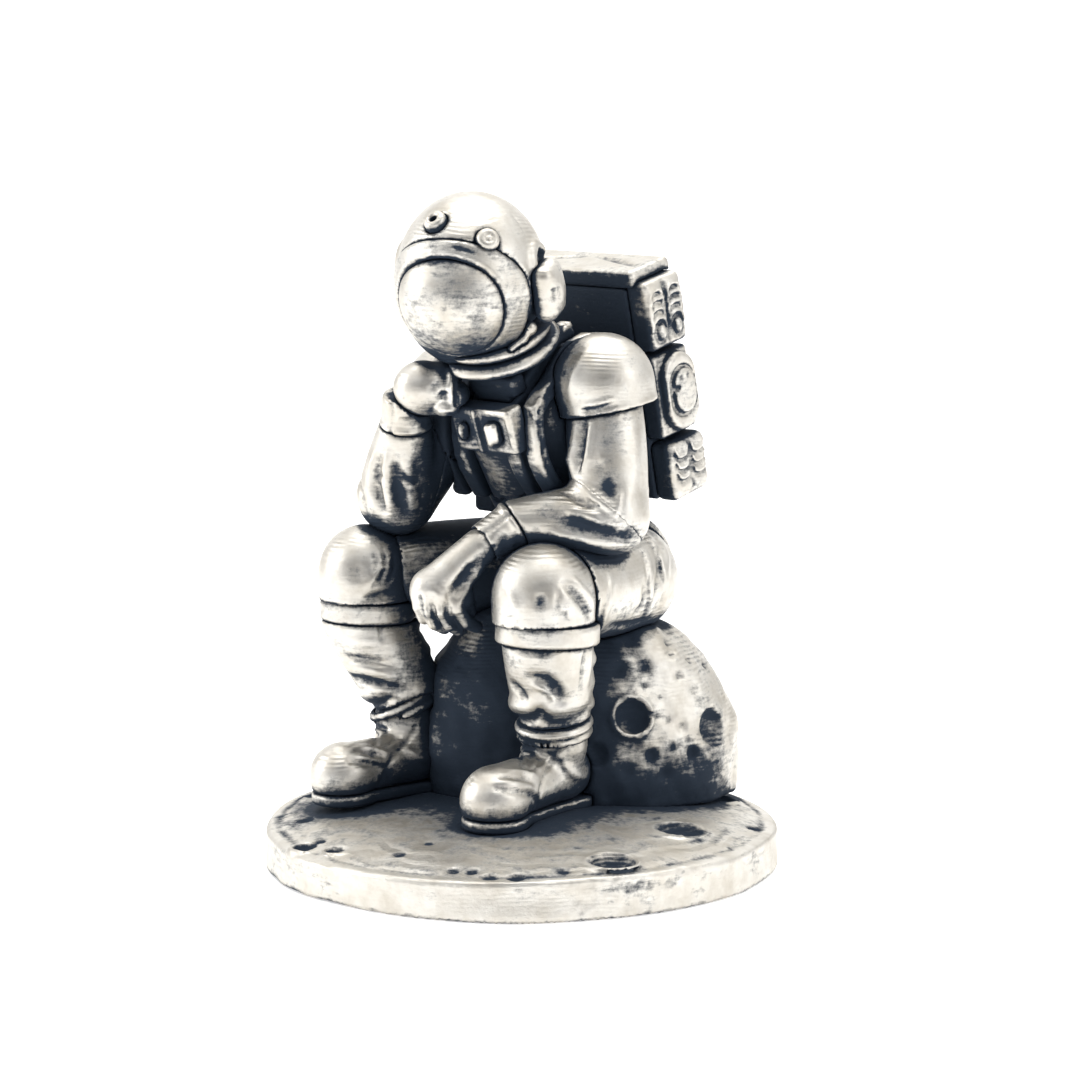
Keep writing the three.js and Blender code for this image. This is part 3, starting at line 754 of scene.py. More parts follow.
bar = block(pack(0, -0.1, 7.1), (5.25, 1.85, 0.55), PACK_AXES, 0.3)
piece("backpack_top_bar", bar, "cast_equipment", lines(pack, [
    ((0.2, -0.25), (s * 0.3, 0.8, 7.65), (s * 2.2, 0.2, 7.65), (s * 4.6, -0.6, 7.65)) for s in (1, -1)]))
body = merged(0.1, block(PACK, (4.7, 1.8, 6.95), PACK_AXES, 0.35),
              block(pack(0, 1.7, 3.2), (3.6, 0.42, 3.0), PACK_AXES, 0.35),
              block(pack(0, 1.7, -3.6), (3.6, 0.42, 2.6), PACK_AXES, 0.35))
piece("backpack_body", body, "cast_equipment", lines(pack, [
    ((0.13, -0.2, False), (0, 2.1, 0.6), (0, 2.1, 5.8)),
    *[((0.13, -0.2, False), (-2.9, 2.1, z), (2.9, 2.1, z)) for z in (-2.4, -3.6, -4.8)],
    *[((0.2, 0.18), (s * 3.2, 2.12, z)) for s in (-1, 1) for z in (0.7, 5.7, -1.4, -5.8)],
]))

MIDLINE = at("torso", 0.03)[0]
for side, name in SIDES:
    for band_name, inset, crown in (("outer", 3.6, 30.0), ("inner", 2.0, 30.6)):
        x = MIDLINE + side * inset
        path = smooth_path([(x, 7.9, 29.6), (x, 6.0, crown + 0.9), (x, 3.6, crown + 0.6),
                            (x, 1.6, crown - 1.4),
                            (x, 0.0, 27.2), (x + side * 0.2, 0.3, 24.2), (x + side * 0.3, 2.0, 21.8)], 0.9).T
        piece(f"harness_{band_name}_{name}", band(path, (1, 0, 0), 0.58, 0.5, 0.3), "cast_equipment",
              [mark([p + (side * 0.1, 0, 0) for p in path[2:-1]], 0.16, -0.12, False),
               mark(path[1:6], 0.6, 0.0, stain=-0.3)])

# legs
LEG = {     # hip, knee, calf, shin, heel and toe: a node and an offset from its middle
    "left": (("thigh", -0.57, 2.76, 0), ("knee_pad", -0.1, -0.1, -0.62), ("lower_leg", 0.03, -0.33, 2.81),
             ("lower_leg", -0.27, 0.57, -1.59), ("boot_sole", -0.5, 3.58, 0), ("boot_sole", 0.25, -3.32, 0)),
    "right": (("thigh", 1.64, 3.83, 0), ("knee_pad", 0, 0, -0.5), ("lower_leg", -0.7, -0.68, 2.87),
              ("lower_leg", 1.0, 1.02, -1.73), ("boot_sole", 0.62, 3.13, 0), ("boot_sole", -0.38, -2.87, 0)),
}
LEG_RADII = {"left": (3.4, 3.05, 2.7, 2.3, 1.75, 2.0), "right": (3.3, 2.85, 2.65, 2.3, 1.65, 1.9)}
SOLE_HALF, STRAP_HALF = 0.37, 0.62      # half thicknesses of a sole and a knee band
SOLE_TOP, HEEL_UP, TOE_UP, ANKLE = 0.38, 1.78, 1.48, 3.98    # above the middle of the sole
for side, name in SIDES:
    thigh_r, knee_r, calf_r, shin_r, heel_r, toe_r = LEG_RADII[name]
    hip, knee, calf, shin, heel, toe = (at(f"{node}_{name}", *offset) for node, *offset in LEG[name])
    along = unit(toe - heel)
    ahead = np.array([along[0], along[1], 0])
    across = np.array([-along[1], along[0], 0]) * (1 if -along[1] > 0 else -1)
    up = np.array([0, 0, 1.0])
    span = np.linalg.norm(toe - heel)
    sole = kept(merged(0.4, puck(heel, up, heel_r - 0.02, SOLE_HALF, 0.2),
                       puck(toe, up, toe_r - 0.02, SOLE_HALF, 0.2),
                       block((heel + toe) / 2, (span / 2, heel_r - 0.2, 0.36), turned(ahead, across), 0.2)),
                lambda p, z=heel[2]: np.abs(p[2] - z) - SOLE_HALF)
    piece(f"boot_sole_{name}", sole, "cast_suit")
    foot = Rod(heel + up * HEEL_UP, toe + up * TOE_UP, heel_r - 0.1, toe_r - 0.15, front=(0, 0, 1))
    instep = heel + up * (HEEL_UP - 0.1) + ahead * 1.2
    ankle = heel + up * HEEL_UP + (np.array([shin[0], shin[1], heel[2] + ANKLE]) - heel - up * HEEL_UP) * 0.9
    toe_cap = egg(toe + up * 1.2 + ahead * 0.1, (toe_r - 0.02, toe_r - 0.02, 1.95), turned(ahead, across))
    shaft = Rod(instep, ankle, heel_r, shin_r - 0.3)
    boot = merged(0.5, foot.form, shaft.form, toe_cap)
    if side > 0:
        bars = [((-1.7, -0.4), (-0.7, -0.6), (0.2, -1.0)), ((-1.3, 0.1), (-0.4, -0.15), (0.4, -0.5)),
                ((-0.8, 0.5), (0.2, 0.25), (1.1, 0.1))]
        cap_line = ((-1.95, -0.65), (-0.8, -1.0), (0.25, -1.55), (0.5, -2.3))
    else:
        bars = [((-1.4, -0.4), (-0.6, -0.65), (0.2, -0.95)), ((-1.1, 0.0), (-0.2, -0.25), (0.5, -0.55)),
                ((-0.6, 0.4), (0.3, 0.15), (1.1, -0.1))]
        cap_line = ((-1.65, -0.65), (-0.7, -0.9), (0.35, -1.3), (0.55, -2.2))
    marks = strokes(boot, f"boot_{name}", [((0.14, -0.26, False), *cap_line)])
    for bar in bars:
        above_bar = [(x, z + 0.27) for x, z in bar]
        marks += strokes(boot, f"boot_{name}", [((0.17, 0.24), *bar), ((0.13, -0.26), *above_bar)])
    on_foot = local(heel, np.array([ahead, across, up]))
    for s in (-1, 1):
        marks += lines(on_foot, [
            ((0.13, -0.2, False), (span - 1.6, s * 1.7, 0.7), (span - 2.2, s * 1.6, 1.9),
             (span - 3.4, s * 1.5, 2.9),
             (span - 4.6, s * 1.5, 4.0)),
            ((0.25, 0.2), (-0.2, s * 1.7, 1.6), (1.6, s * 1.8, 2.1), (2.6, s * 1.7, 3.2)),
        ])
    marks += lines(on_foot, [((0.16, -0.08), (span + 1.1, -0.6, 2.4))])
    piece(f"boot_{name}", kept(boot, above(heel[2] + SOLE_TOP)), "cast_suit", marks)
    tilt = unit(calf - shin)
    collar = at(f"boot_collar_{name}")
    piece(f"boot_collar_{name}", merged(0.2, hoop(collar + 0.25 * tilt, tilt, shin_r - 0.45, 0.5, 0.36),
                                        hoop(collar - 0.3 * tilt, tilt, shin_r - 0.5, 0.48, 0.3),
                                        puck(collar, tilt, shin_r - 0.3, 0.5, 0.2)), "cast_suit")
    strap = at(f"knee_band_{name}")
    piece(f"knee_band_{name}", puck(strap, (0, 0.04, 1), knee_r + 0.05, STRAP_HALF, 0.22), "cast_suit")
    pad = kept(merged(0.3, egg(knee, (knee_r, knee_r, knee_r + 0.05)),
                      limb(knee + (0, 0, -0.7), knee + (0, 0, -2.6), knee_r - 0.02, knee_r + 0.02)),
               above(strap[2] + STRAP_HALF))
    if side > 0:
        marks = strokes(pad, f"knee_pad_{name}", [
            # a faint groove painted far darker at the middle of the knee: oxide in it, and a painted
            # reflection
            ((0.36, -0.12, True, 1.0), (-0.35, 0.0), (-0.35, -1.0)),
            ((0.22, -0.42), (1.05, 0.45), (1.5, 0.0), (2.0, -0.6), (2.5, -1.6)),
            ((0.2, 0.22), (1.5, 0.75), (2.1, 0.1), (2.75, -1.0)),
            ((0.15, -0.2), (0.65, 0.0), (0.7, -0.9), (1.4, -1.7)),
            ((0.3, 0.1), (-2.3, 0.3), (-1.9, -0.6), (-1.7, -1.5)),
        ])
    else:
        marks = strokes(pad, f"knee_pad_{name}", [
            # a faint groove painted far darker at the middle of the knee: oxide in it, and a painted
            # reflection
            ((0.5, -0.1, True, 0.6), (-0.4, 0.6), (-0.5, -0.8)),
            # a flat mark painted dark on the side of the knee: painted shade
            ((0.9, 0.0, True, 0.5), (1.9, 1.4), (1.9, 0.0)),
            ((0.22, -0.36), (0.0, -1.8), (1.0, -1.55), (1.9, -1.45)),
            ((0.2, 0.2), (0.3, -0.9), (1.0, 0.1), (1.8, 0.0)),
            ((0.13, -0.14), (0.6, 1.1), (0.75, 0.2), (0.5, -0.6)),
            ((0.13, -0.14), (1.2, 1.2), (1.3, 0.4), (1.0, -0.6)),
            ((0.13, -0.14), (1.8, 0.9), (1.8, 0.0), (1.4, -0.9)),
        ])
    piece(f"knee_pad_{name}", pad, "cast_suit", marks)
    shank = Rod(calf, shin, calf_r, shin_r, swell=0.1)
    if side > 0:
        marks = strokes(shank.form, f"lower_leg_{name}", [
            ((0.2, -0.3), (-2.1, 2.35), (-1.0, 2.3), (0.3, 2.35)),
            ((0.13, -0.26), (2.1, 2.5), (1.9, 1.3), (1.75, -0.2)),
            ((0.2, 0.16), (2.4, 2.3), (2.3, 1.2), (2.15, 0.0)),
            ((0.28, -0.42), (-1.1, 0.75), (-0.4, 0.65), (0.2, 0.2), (0.7, -0.7)),
            ((0.2, 0.24), (-0.9, 0.2), (-0.3, 0.05), (0.15, -0.5)),
            ((0.26, -0.32), (-2.3, 0.1), (-1.9, -0.1), (-1.35, -0.8)),
            ((0.42, 0.45), (-2.4, -0.9), (-1.2, -1.15), (-0.2, -1.3), (1.0, -1.2), (2.1, -0.85)),
            ((0.3, -0.45), (-2.3, -1.6), (-1.2, -2.0), (0.0, -2.25), (1.2, -2.15), (2.1, -1.6)),
        ])
    else:
        marks = strokes(shank.form, f"lower_leg_{name}", [
            ((0.12, -0.2), (0.1, 2.9), (0.15, 1.7)),
            ((0.4, 0.12), (-2.3, 1.7), (-1.2, 1.6), (0.0, 1.6)),
            ((0.25, -0.24), (-2.1, 0.55), (-0.8, 0.5), (0.6, 0.2)),
            ((0.42, 0.34), (-2.2, -0.05), (-1.0, -0.1), (0.3, -0.35), (1.3, -0.8)),
            ((0.26, -0.38), (-1.8, -0.7), (-0.7, -0.8), (0.4, -1.05), (1.3, -1.45)),
            ((0.4, 0.36), (-1.7, -1.4), (-0.3, -1.6), (1.3, -1.75)),
            ((0.26, -0.4), (-1.4, -2.05), (0.2, -2.3), (1.3, -2.25)),
            ((0.32, 0.3), (-0.9, -2.6), (0.4, -2.8), (1.5, -2.5)),
        ])
    for t, a0, a1, w, hgt in ((0.35, 120, 230, 0.4, 0.3), (0.7, 130, 260, 0.4, 0.3),
                              (0.95, 110, 220, 0.35, 0.3)):
        marks += shank.fold([(t, a0), (t + 0.1, (a0 + a1) / 2), (t - 0.03, a1)], w, hgt)
    piece(f"lower_leg_{name}", shank.form, "cast_suit", marks)
    thigh = Rod(hip, hip + (knee - hip) * 0.88, thigh_r, knee_r - 0.1, front=(0, 0, 1), swell=0.1)
    marks = []
    for t, a0, a1 in ((0.06, 30, 120), (0.25, 45, 130), (0.8, 70, 150)):
        marks += thigh.fold([(t, side * a0), (t + 0.05, side * (a0 + a1) / 2), (t - 0.02, side * a1)], 0.3,
                            0.2)
    if side > 0:
        marks += strokes(thigh.form, "thigh_left", [
            ((0.16, -0.3), (3.4, 2.3), (3.55, 0.9), (3.2, -0.5), (2.7, -1.7)),
            ((0.3, 0.28), (3.85, 2.2), (4.0, 0.8), (3.6, -0.7)),
            ((0.2, -0.22), (2.6, 0.4), (2.55, -0.8), (2.0, -1.5)),
            ((0.25, -0.26), (0.6, -1.9), (1.8, -2.2), (2.9, -2.1)),
        ])
    piece(f"thigh_{name}", thigh.form, "cast_suit", marks)

# trunk
BELT = at("waist_belt", 0, 0.01, 0.22)
BELT_AXIS = (0, -0.35, 0.94)
piece("waist_belt", merged(0.2, puck(BELT, BELT_AXIS, 4.5, 0.72, 0.4),
                           hoop(BELT + (0, 0, 0.25), BELT_AXIS, 4.25, 0.35, 0.3)), "cast_equipment")
waist = at("torso", 0.03, 2.53, -4.73)
upper_trunk = at("torso", 0.03, -0.47, 1.27)
trunk = Rod(waist, upper_trunk, 4.15, 4.7)
marks = []
for t, a0, a1 in ((0.1, 40, 110), (0.3, 50, 100), (0.15, -40, -110), (0.35, -50, -100)):
    marks += trunk.fold([(t, a0), (t + 0.08, (a0 + a1) / 2), (t, a1)], 0.4, 0.35)
marks += [mark(trunk.arc((0.2, 80), (0.6, 86), (1.0, 80)), 0.35, -0.4),
          mark(trunk.arc((0.1, 96), (0.5, 100), (0.9, 96)), 0.4, 0.4)]
marks += strokes(trunk.form, "torso", [
    ((0.3, 0.36), (4.6, -1.0), (4.9, -2.2), (4.7, -3.4), (4.2, -4.3)),
    ((0.25, -0.4), (4.0, -1.0), (4.3, -2.2), (4.1, -3.4)),
    # a wide flat mark painted dark on the front of the trunk: painted shade
    ((1.3, 0.0, True, 0.3), (-1.6, 0.5), (0.2, 0.2)),
    # a wide flat mark painted bright higher on the trunk: a painted highlight
    ((1.1, 0.0, True, -0.5), (0.3, 4.2), (0.8, 3.0), (1.0, 1.6)),
])
piece("torso", trunk.form, "cast_suit", marks)
SEAT = at("hips", 0.21, 0, 0.34)
seat = egg(SEAT, (5.6, 4.9, 3.8))
side_fold, mid_fold = ((-1.5, 1.8), (-0.6, 0), (-0.8, -2)), ((-0.6, 1.8), (0.4, 0), (0.2, -2))
back_fold = ((0.2, 1.6), (1.4, 0), (1.2, -2))
marks = strokes(seat, "hips", [
    ((0.32, 0.42), (3.7, 2.6), (4.4, 1.6), (4.4, 0.2), (3.9, -1.3)),
    ((0.24, -0.42), (3.2, 2.5), (3.8, 1.5), (3.8, 0.2), (3.4, -1.2)),
])
for dx, fold, width, height in ((5.2, side_fold, 0.4, -0.4), (5.2, mid_fold, 0.45, 0.4),
                                (5.0, back_fold, 0.35, -0.35), (-5.2, side_fold, 0.4, -0.4),
                                (-5.0, back_fold, 0.35, -0.35)):
    marks.append(mark([SEAT + (dx, dy, dz) for dy, dz in fold], width, height))
marks.append(mark([SEAT + (dx, 4.8, 0.5 - 0.05 * dx * dx) for dx in (-3, -1.5, 0, 1.5, 3)], 0.5, -0.35))
piece("hips", seat, "cast_suit", marks)

# boulder and ground
CIRCLE = np.linspace(0, 6.28, 13)


def polar(distance, angle, level=0.0):
    return np.array([distance * math.cos(angle), distance * math.sin(angle), level])


ROCK = at("boulder")
ROCK_AXES = spun(42)


def rough(form, scale, amount, seed):
    """Adds soft lumps, a sum of a few wandering waves."""
    r = np.random.default_rng(seed)
    waves = [(unit(r.normal(size=3)) * 2 * math.pi / (scale * s), r.uniform(0, 6.28), s)
             for s in (1.0, 0.8, 0.6, 0.45, 0.33) for _ in range(2)]

    def f(p):
        d = form(p)
        for k, phase, s in waves:
            d = d - amount * s * 0.35 * np.sin((p * col(k)).sum(0) + np.float32(phase))
        return d
    return f


rock_main = ROCK + (0.48, 0.62, -3.5)
rock_flank = ROCK + (-3.5, -3.1, -3.6)
rock = merged(0.8, egg(rock_main, (8.4, 6.75, 9.1), ROCK_AXES), egg(rock_flank, (6.0, 5.6, 9.7), ROCK_AXES))
rock = rough(rough(rock, 5.0, 0.16, 3), 1.7, 0.05, 8)
cups, lips, pits = [], [], []
seen = [(facing(rock, "boulder", (x, z), reach=9)[0], r, depth, lip) for x, z, r, depth, lip in (
    (2.45, 0.0, 1.15, 0.7, 0.24), (7.4, -1.1, 1.35, 0.5, 0.0), (0.3, -2.2, 0.8, 0.4, 0.0),
    (3.6, -2.4, 0.45, 0.25, 0.0), (6.1, -2.4, 0.4, 0.3, 0.0))]
behind = [(col(q), r, depth, 0.0) for *q, r, depth in (
    (-5.4, 11.6, 8.0, 1.4, 0.6), (1.0, 14.2, 8.4, 1.2, 0.5), (-1.6, 14.0, 5.2, 0.7, 0.4),
    (-8.0, 9.2, 5.6, 0.8, 0.4), (4.0, 13.4, 5.0, 0.6, 0.35))]
for c, r, depth, edge in seen + behind:
    c = settle(rock, col(c), 6, 2)
    out = unit(gradient(rock, c, rock(c))[:, 0])
    c = c[:, 0].astype(float)
    cups.append(egg(c + out * (r * 0.55 - depth * 0.35), (r, r, r)))
    pits.append(mark([c - out * 0.6 * depth], r * 0.9, 0.0, stain=0.8))
    if edge:
        lips.append(hoop(c + out * 0.02, out, r * 0.97, edge, 0.7 * edge))
        turn = unit(np.cross(out, (0, 0, 1)))
        ring = [c + 1.02 * r * (turn * math.cos(s) + np.cross(out, turn) * math.sin(s)) for s in CIRCLE]
        pits.append(mark(ring, 0.24, 0.03, False, stain=-0.35))
SMALL_PITS = (      # across and up from the middle, radius
    (1.6, 2.65, 0.4), (3.25, 2.75, 0.42), (4.7, 3.85, 0.26), (4.85, 3.4, 0.3), (5.4, 2.1, 0.34),
    (5.95, 2.75, 0.22), (6.25, 1.25, 0.3), (6.5, 0.7, 0.22), (5.45, -0.7, 0.32), (4.6, -0.3, 0.2),
    (7.0, 2.2, 0.2), (3.2, 1.7, 0.2), (4.1, 1.0, 0.14), (5.9, -1.5, 0.18), (4.9, -1.9, 0.25),
    (2.2, -3.3, 0.35), (4.4, -3.6, 0.3), (-8.0, 2.6, 0.25),
)
for x, z, r in SMALL_PITS:
    pits.append(mark(facing(rock, "boulder", (x, z), reach=9), r, -0.3 * (0.5 + r), stain=0.8))
pits.append(mark(facing(rock, "boulder", (3.55, 0.1), (3.9, 0.0), (4.2, -0.15), reach=9), 0.16, -0.22,
                 stain=0.9))
BACK_PITS = (      # a place behind the figure, radius
    (0.5, 13.5, 10.5, 0.25), (-3.0, 13.2, 9.6, 0.25), (-7.2, 8.6, 9.0, 0.3), (-3.6, 13.6, 6.0, 0.22),
)
for x, y, z, r in BACK_PITS:
    pits.append(mark([(x, y, z)], r, -0.3))
# flat marks painted dark down the boulder's left side, near its middle and along its foot, and one painted
# bright on its right: painted shade and a painted highlight
for path, size, stain in ((((-8.6, 2.2), (-8.5, 0.0), (-8.0, -3.0)), 1.8, 0.6),
                          (((5.0, 2.6), (5.6, 0.4)), 1.7, -0.35),
                          (((-6.0, 2.5), (-5.6, 0.0), (-5.0, -2.5)), 2.6, 0.5),
                          (((-3.0, 1.5), (-2.6, -1.0), (-2.4, -3.0)), 2.4, 0.5),
                          (((-1.0, -3.4), (3.0, -3.9), (7.0, -3.6)), 1.4, 0.7),
                          (((0.5, 3.0), (0.6, 0.0)), 1.0, 0.6)):
    pits.append(mark(facing(rock, "boulder", *path, reach=9), size, 0.0, False, stain=stain))
rock = carved(merged(0.3, rock, *lips), *cups, k=0.12)
FOOT = BOX["boulder"][0][2]
piece("boulder", kept(rock, above(FOOT)), "cast_ground", pits, fine=1.3, grow=0.7)

BASE_R = half_size("lunar_ground")[0]
CROWN = BOX["lunar_ground"][1][2]
RIM = CROWN - 1.3


def ground(p):
    """A disc with a hand-filed, slightly wavy side and a low mound on top."""
    turn = np.arctan2(p[1], p[0])
    wave = 0.10 * np.sin(3 * turn + 0.7) + 0.06 * np.sin(7 * turn + 2.1) + 0.04 * np.sin(13 * turn)
    rad = np.hypot(p[0], p[1])
    edge = rad - (BASE_R - 0.22 + wave - 0.10 * np.cos(turn * 5 + 1) * np.clip(1.4 - p[2], 0, 1))
    s = np.clip(1 - rad / BASE_R, 0, 1)
    top = RIM + 0.12 * np.sin(2 * turn + 2.2) + (CROWN - RIM) * (1 - (1 - s) ** 3)
    roof = (p[2] - top) * 0.93
    d = -blend(-edge, -roof, 0.12)
    return -blend(-d, p[2], 0.2)


cups, lips, dents = [], [], []
GROUND_CRATERS = (      # distance from the middle, direction in degrees, radius, depth
    (13.4, -25, 1.4, 0.75), (11.0, 10, 1.5, 0.35), (14.5, -109, 0.75, 0.6), (12.4, 160, 1.4, 0.45),
    (13.7, -100, 0.62, 0.5), (12.4, -82, 0.4, 0.3), (10.3, -79, 0.3, 0.2), (13.9, -64, 0.36, 0.4),
    (13.9, -59.5, 0.36, 0.4), (14.5, -55, 0.42, 0.4), (14.6, -49, 0.5, 0.5), (14.0, -38, 0.35, 0.3),
    (13.2, 60, 0.8, 0.35), (12.8, 120, 0.9, 0.4), (13.6, 200, 1.0, 0.4), (13.0, 228, 0.5, 0.3),
    (14.0, 92, 0.5, 0.3), (14.2, 30, 0.45, 0.25), (13.4, 250, 0.45, 0.25),
)
for distance, angle, r, depth in GROUND_CRATERS:
    c = settle(ground, col(polar(distance, math.radians(angle), CROWN - 0.6)), 5, 1)[:, 0].astype(float)
    cups.append(egg(c + (0, 0, r * 0.42 - depth * 0.25), (r, r, r * 0.75)))
    if r > 0.6:
        lips.append(hoop(c, (0, 0, 1), r * 1.02, 0.16, 0.07))
        dents.append(mark([c + polar(r * 1.25, s) for s in CIRCLE], 0.3, 0.0, False, stain=-0.5))
    dents.append(mark([c - (0, 0, 0.4 * depth)], r * 0.85, 0.0, stain=1.5))
mound = carved(merged(0.3, ground, *lips), *cups, k=0.1)
for k in range(7):      # contour swirls left by the pattern's layers
    angle = math.radians(-88 + 2.0 * k)
    dents.append(mark([polar(12.6 + 0.28 * k - 0.25 * j, angle + 0.05 * j, 2.7) for j in range(6)],
                      0.1, 0.05, stain=-0.3))
for angle, level, size in ((-118, 0.9, 1.3), (-106, 0.7, 1.2), (-95, 0.8, 1.1), (-20, 1.0, 0.8),
                           (15, 1.2, 1.0)):
    dents.append(mark([polar(BASE_R, math.radians(angle), level)], size, -0.1, stain=0.25))
r = np.random.default_rng(21)
for _ in range(90):     # a ragged, pitted patch on the side
    a, level, size = math.radians(r.uniform(-36, 4)), r.uniform(0.3, 2.3), r.uniform(0.06, 0.17)
    b, rise = a + r.uniform(-0.03, 0.03), r.uniform(-0.25, 0.25)
    dents.append(mark([polar(BASE_R, a, level), polar(BASE_R, b, level + rise)], size, -0.12, stain=0.4))
# the ground darker round the feet and the boulder, oxide in their shelter and painted shade under them; a
# band round the side made brighter, and a rim rubbed bright that also paints its highlight, with a dark line
# inside it
oxide_and_shade_round_feet = [at(node) * (1, 1, 0) + (0, 0, 3.0) for node in ("boot_right", "boulder", "boot_left")]
dents.append(mark(oxide_and_shade_round_feet, 5.6, 0.0, False, stain=1.0))
for inset, level, size, height, stain in ((0.0, 0.9, 0.9, 0.0, -0.3), (0.35, RIM + 0.15, 0.3, 0.03, -0.5),
                                          (1.0, RIM + 0.3, 0.16, -0.03, 0.35)):
    rim_path = [polar(BASE_R - inset, s, level) for s in np.linspace(0, 6.28, 40)]
    dents.append(mark(rim_path, size, height, False, stain))
piece("lunar_ground", mound, "cast_ground", dents, fine=1.4, grow=0.7)


# ---- meshing -------------------------------------------------------------------------------------
CORNERS = np.array([(i, j, k) for i in (0, 1) for j in (0, 1) for k in (0, 1)])
BLOCK = 4


def in_chunks(f, p, size=150000):
    if not p.shape[1]:
        return np.zeros(0, np.float32)
    return np.concatenate([f(p[:, i:i + size]) for i in range(0, p.shape[1], size)])


def distances(field, low, h, blocks):
    """The field on a grid, worked out only near the surface."""
    idx = np.stack(np.meshgrid(*[np.arange(n) for n in blocks], indexing="ij"), -1).reshape(-1, 3)
    centres = (low + (idx * BLOCK + (BLOCK - 1) / 2) * h).T.astype(np.float32)
    rough_d = in_chunks(field, centres)
    grid = np.sign(rough_d).reshape(blocks).astype(np.float32)
    for axis in range(3):
        grid = np.repeat(grid, BLOCK, axis)
    near = idx[np.abs(rough_d) < 1.6 * BLOCK * h + 0.25]
    offsets = np.stack(np.meshgrid(*[np.arange(BLOCK)] * 3, indexing="ij"), -1).reshape(-1, 3)
    fine = (near[:, None, :] * BLOCK + offsets[None]).reshape(-1, 3)
    grid[fine[:, 0], fine[:, 1], fine[:, 2]] = in_chunks(field, (low + fine * h).T.astype(np.float32))
    for axis in range(3):
        for edge in (0, -1):
            sl = [slice(None)] * 3
            sl[axis] = edge
            grid[tuple(sl)] = np.maximum(grid[tuple(sl)], 0.01)
    return grid


def skin(field, low, high, h):
    """Surface nets: one vertex in each cell the surface crosses, then settled onto it."""
    blocks = np.ceil((high - low) / (BLOCK * h)).astype(int) + 1
    grid = distances(field, low, h, blocks)
    inside = grid < 0
    total = sum(inside[tuple(slice(c, n - 1 + c) for c, n in zip(corner, grid.shape))].astype(np.int8)
                for corner in CORNERS)
    cells = np.argwhere((total > 0) & (total < 8))
    number = np.full(total.shape, -1, np.int32)
    number[tuple(cells.T)] = np.arange(len(cells))
    place, count = np.zeros((len(cells), 3)), np.zeros(len(cells))
    for a in CORNERS:
        for axis in range(3):
            if a[axis]:
                continue
            b = a.copy()
            b[axis] = 1
            va, vb = grid[tuple((cells + a).T)], grid[tuple((cells + b).T)]
            crossed = (va < 0) != (vb < 0)
            t = va[crossed] / (va[crossed] - vb[crossed])
            spot = np.repeat(a[None].astype(float), crossed.sum(), 0)
            spot[:, axis] += t
            place[crossed] += spot
            count[crossed] += 1
    verts = (low + h * (cells + place / count[:, None])).T.astype(np.float32)
    quads = []
    for axis in range(3):
        first, second = (inside[tuple(slice(i, n - 1 + i) if k == axis else slice(1, n - 1)
                                      for k, n in enumerate(grid.shape))] for i in (0, 1))
        u, v = (axis + 1) % 3, (axis + 2) % 3
        for sign in (True, False):
            g = np.argwhere((first != second) & (first == sign))
            for k in (u, v):
                g[:, k] += 1
            ring = []
            for du, dv in ((-1, -1), (0, -1), (0, 0), (-1, 0)):
                c = g.copy()
                c[:, u] += du
                c[:, v] += dv
                ring.append(number[tuple(c.T)])
            quad = np.stack(ring, 1)
            quads.append(quad if sign else quad[:, ::-1])
    quads = np.concatenate(quads)
    verts, quads = biggest(verts, quads)
    start = verts.copy()
    verts = settle(field, verts, 2, 0.45 * h)
    drift = verts - start
    verts = start + drift * np.minimum(1, 0.7 * h / np.maximum(length(drift), 1e-9))
    return verts, quads


def biggest(verts, quads):
    """Keeps the largest connected body."""
    label = np.arange(verts.shape[1])
    while True:
        low = label[quads].min(1)
        new = label.copy()
        for k in range(4):
            np.minimum.at(new, quads[:, k], low)
        new = new[new]
        if np.array_equal(new, label):
            break
        label = new
    names, counts = np.unique(label, return_counts=True)
    keep = label == names[counts.argmax()]
    renumber = np.cumsum(keep) - 1
    return verts[:, keep], renumber[quads[keep[quads[:, 0]]]]


def normals(verts, quads):
    v = verts.T.astype(float)
    n = np.cross(v[quads[:, 2]] - v[quads[:, 0]], v[quads[:, 3]] - v[quads[:, 1]])
    out = np.zeros_like(v)
    for k in range(4):
        np.add.at(out, quads[:, k], n)
    return (out / np.maximum(np.linalg.norm(out, axis=1, keepdims=True), 1e-12)).T.astype(np.float32)


def sculpt(pc):
    verts, quads = skin(pc["field"], pc["low"].astype(float), pc["high"].astype(float), GRID * pc["fine"])
    pc["verts"], pc["quads"], pc["normals"] = verts, quads, normals(verts, quads)


# ---- where the dark oxide stays, and painted shade: crevices at several scales, sheltered places and undersides ---
VOXEL = 0.3
MARGIN = 6.0
world_low = np.min([p["low"] for p in PIECES], 0) - MARGIN
world_high = np.max([p["high"] for p in PIECES], 0) + MARGIN
world_size = np.ceil((world_high - world_low) / VOXEL).astype(int) + 1
solid = np.zeros(world_size, np.float32)


def fill(pc):
    i0 = np.floor((pc["low"] - world_low) / VOXEL).astype(int)
    i1 = np.ceil((pc["high"] - world_low) / VOXEL).astype(int) + 1
    ax = [world_low[k] + np.arange(i0[k], i1[k]) * VOXEL for k in range(3)]
    pts = np.stack(np.meshgrid(*ax, indexing="ij"), 0).reshape(3, -1).astype(np.float32)
    amount = np.clip(0.5 - in_chunks(pc["form"], pts) / VOXEL, 0,
                     1).reshape([i1[k] - i0[k] for k in range(3)])
    return tuple(slice(i0[k], i1[k]) for k in range(3)), amount


GOLDEN = math.pi * (3 - math.sqrt(5))
RAYS = [np.array([math.cos(GOLDEN * i) * math.sqrt(1 - z * z), math.sin(GOLDEN * i) * math.sqrt(1 - z * z),
                  z])
        for i, z in enumerate(np.linspace(0.96, -0.96, 30))]


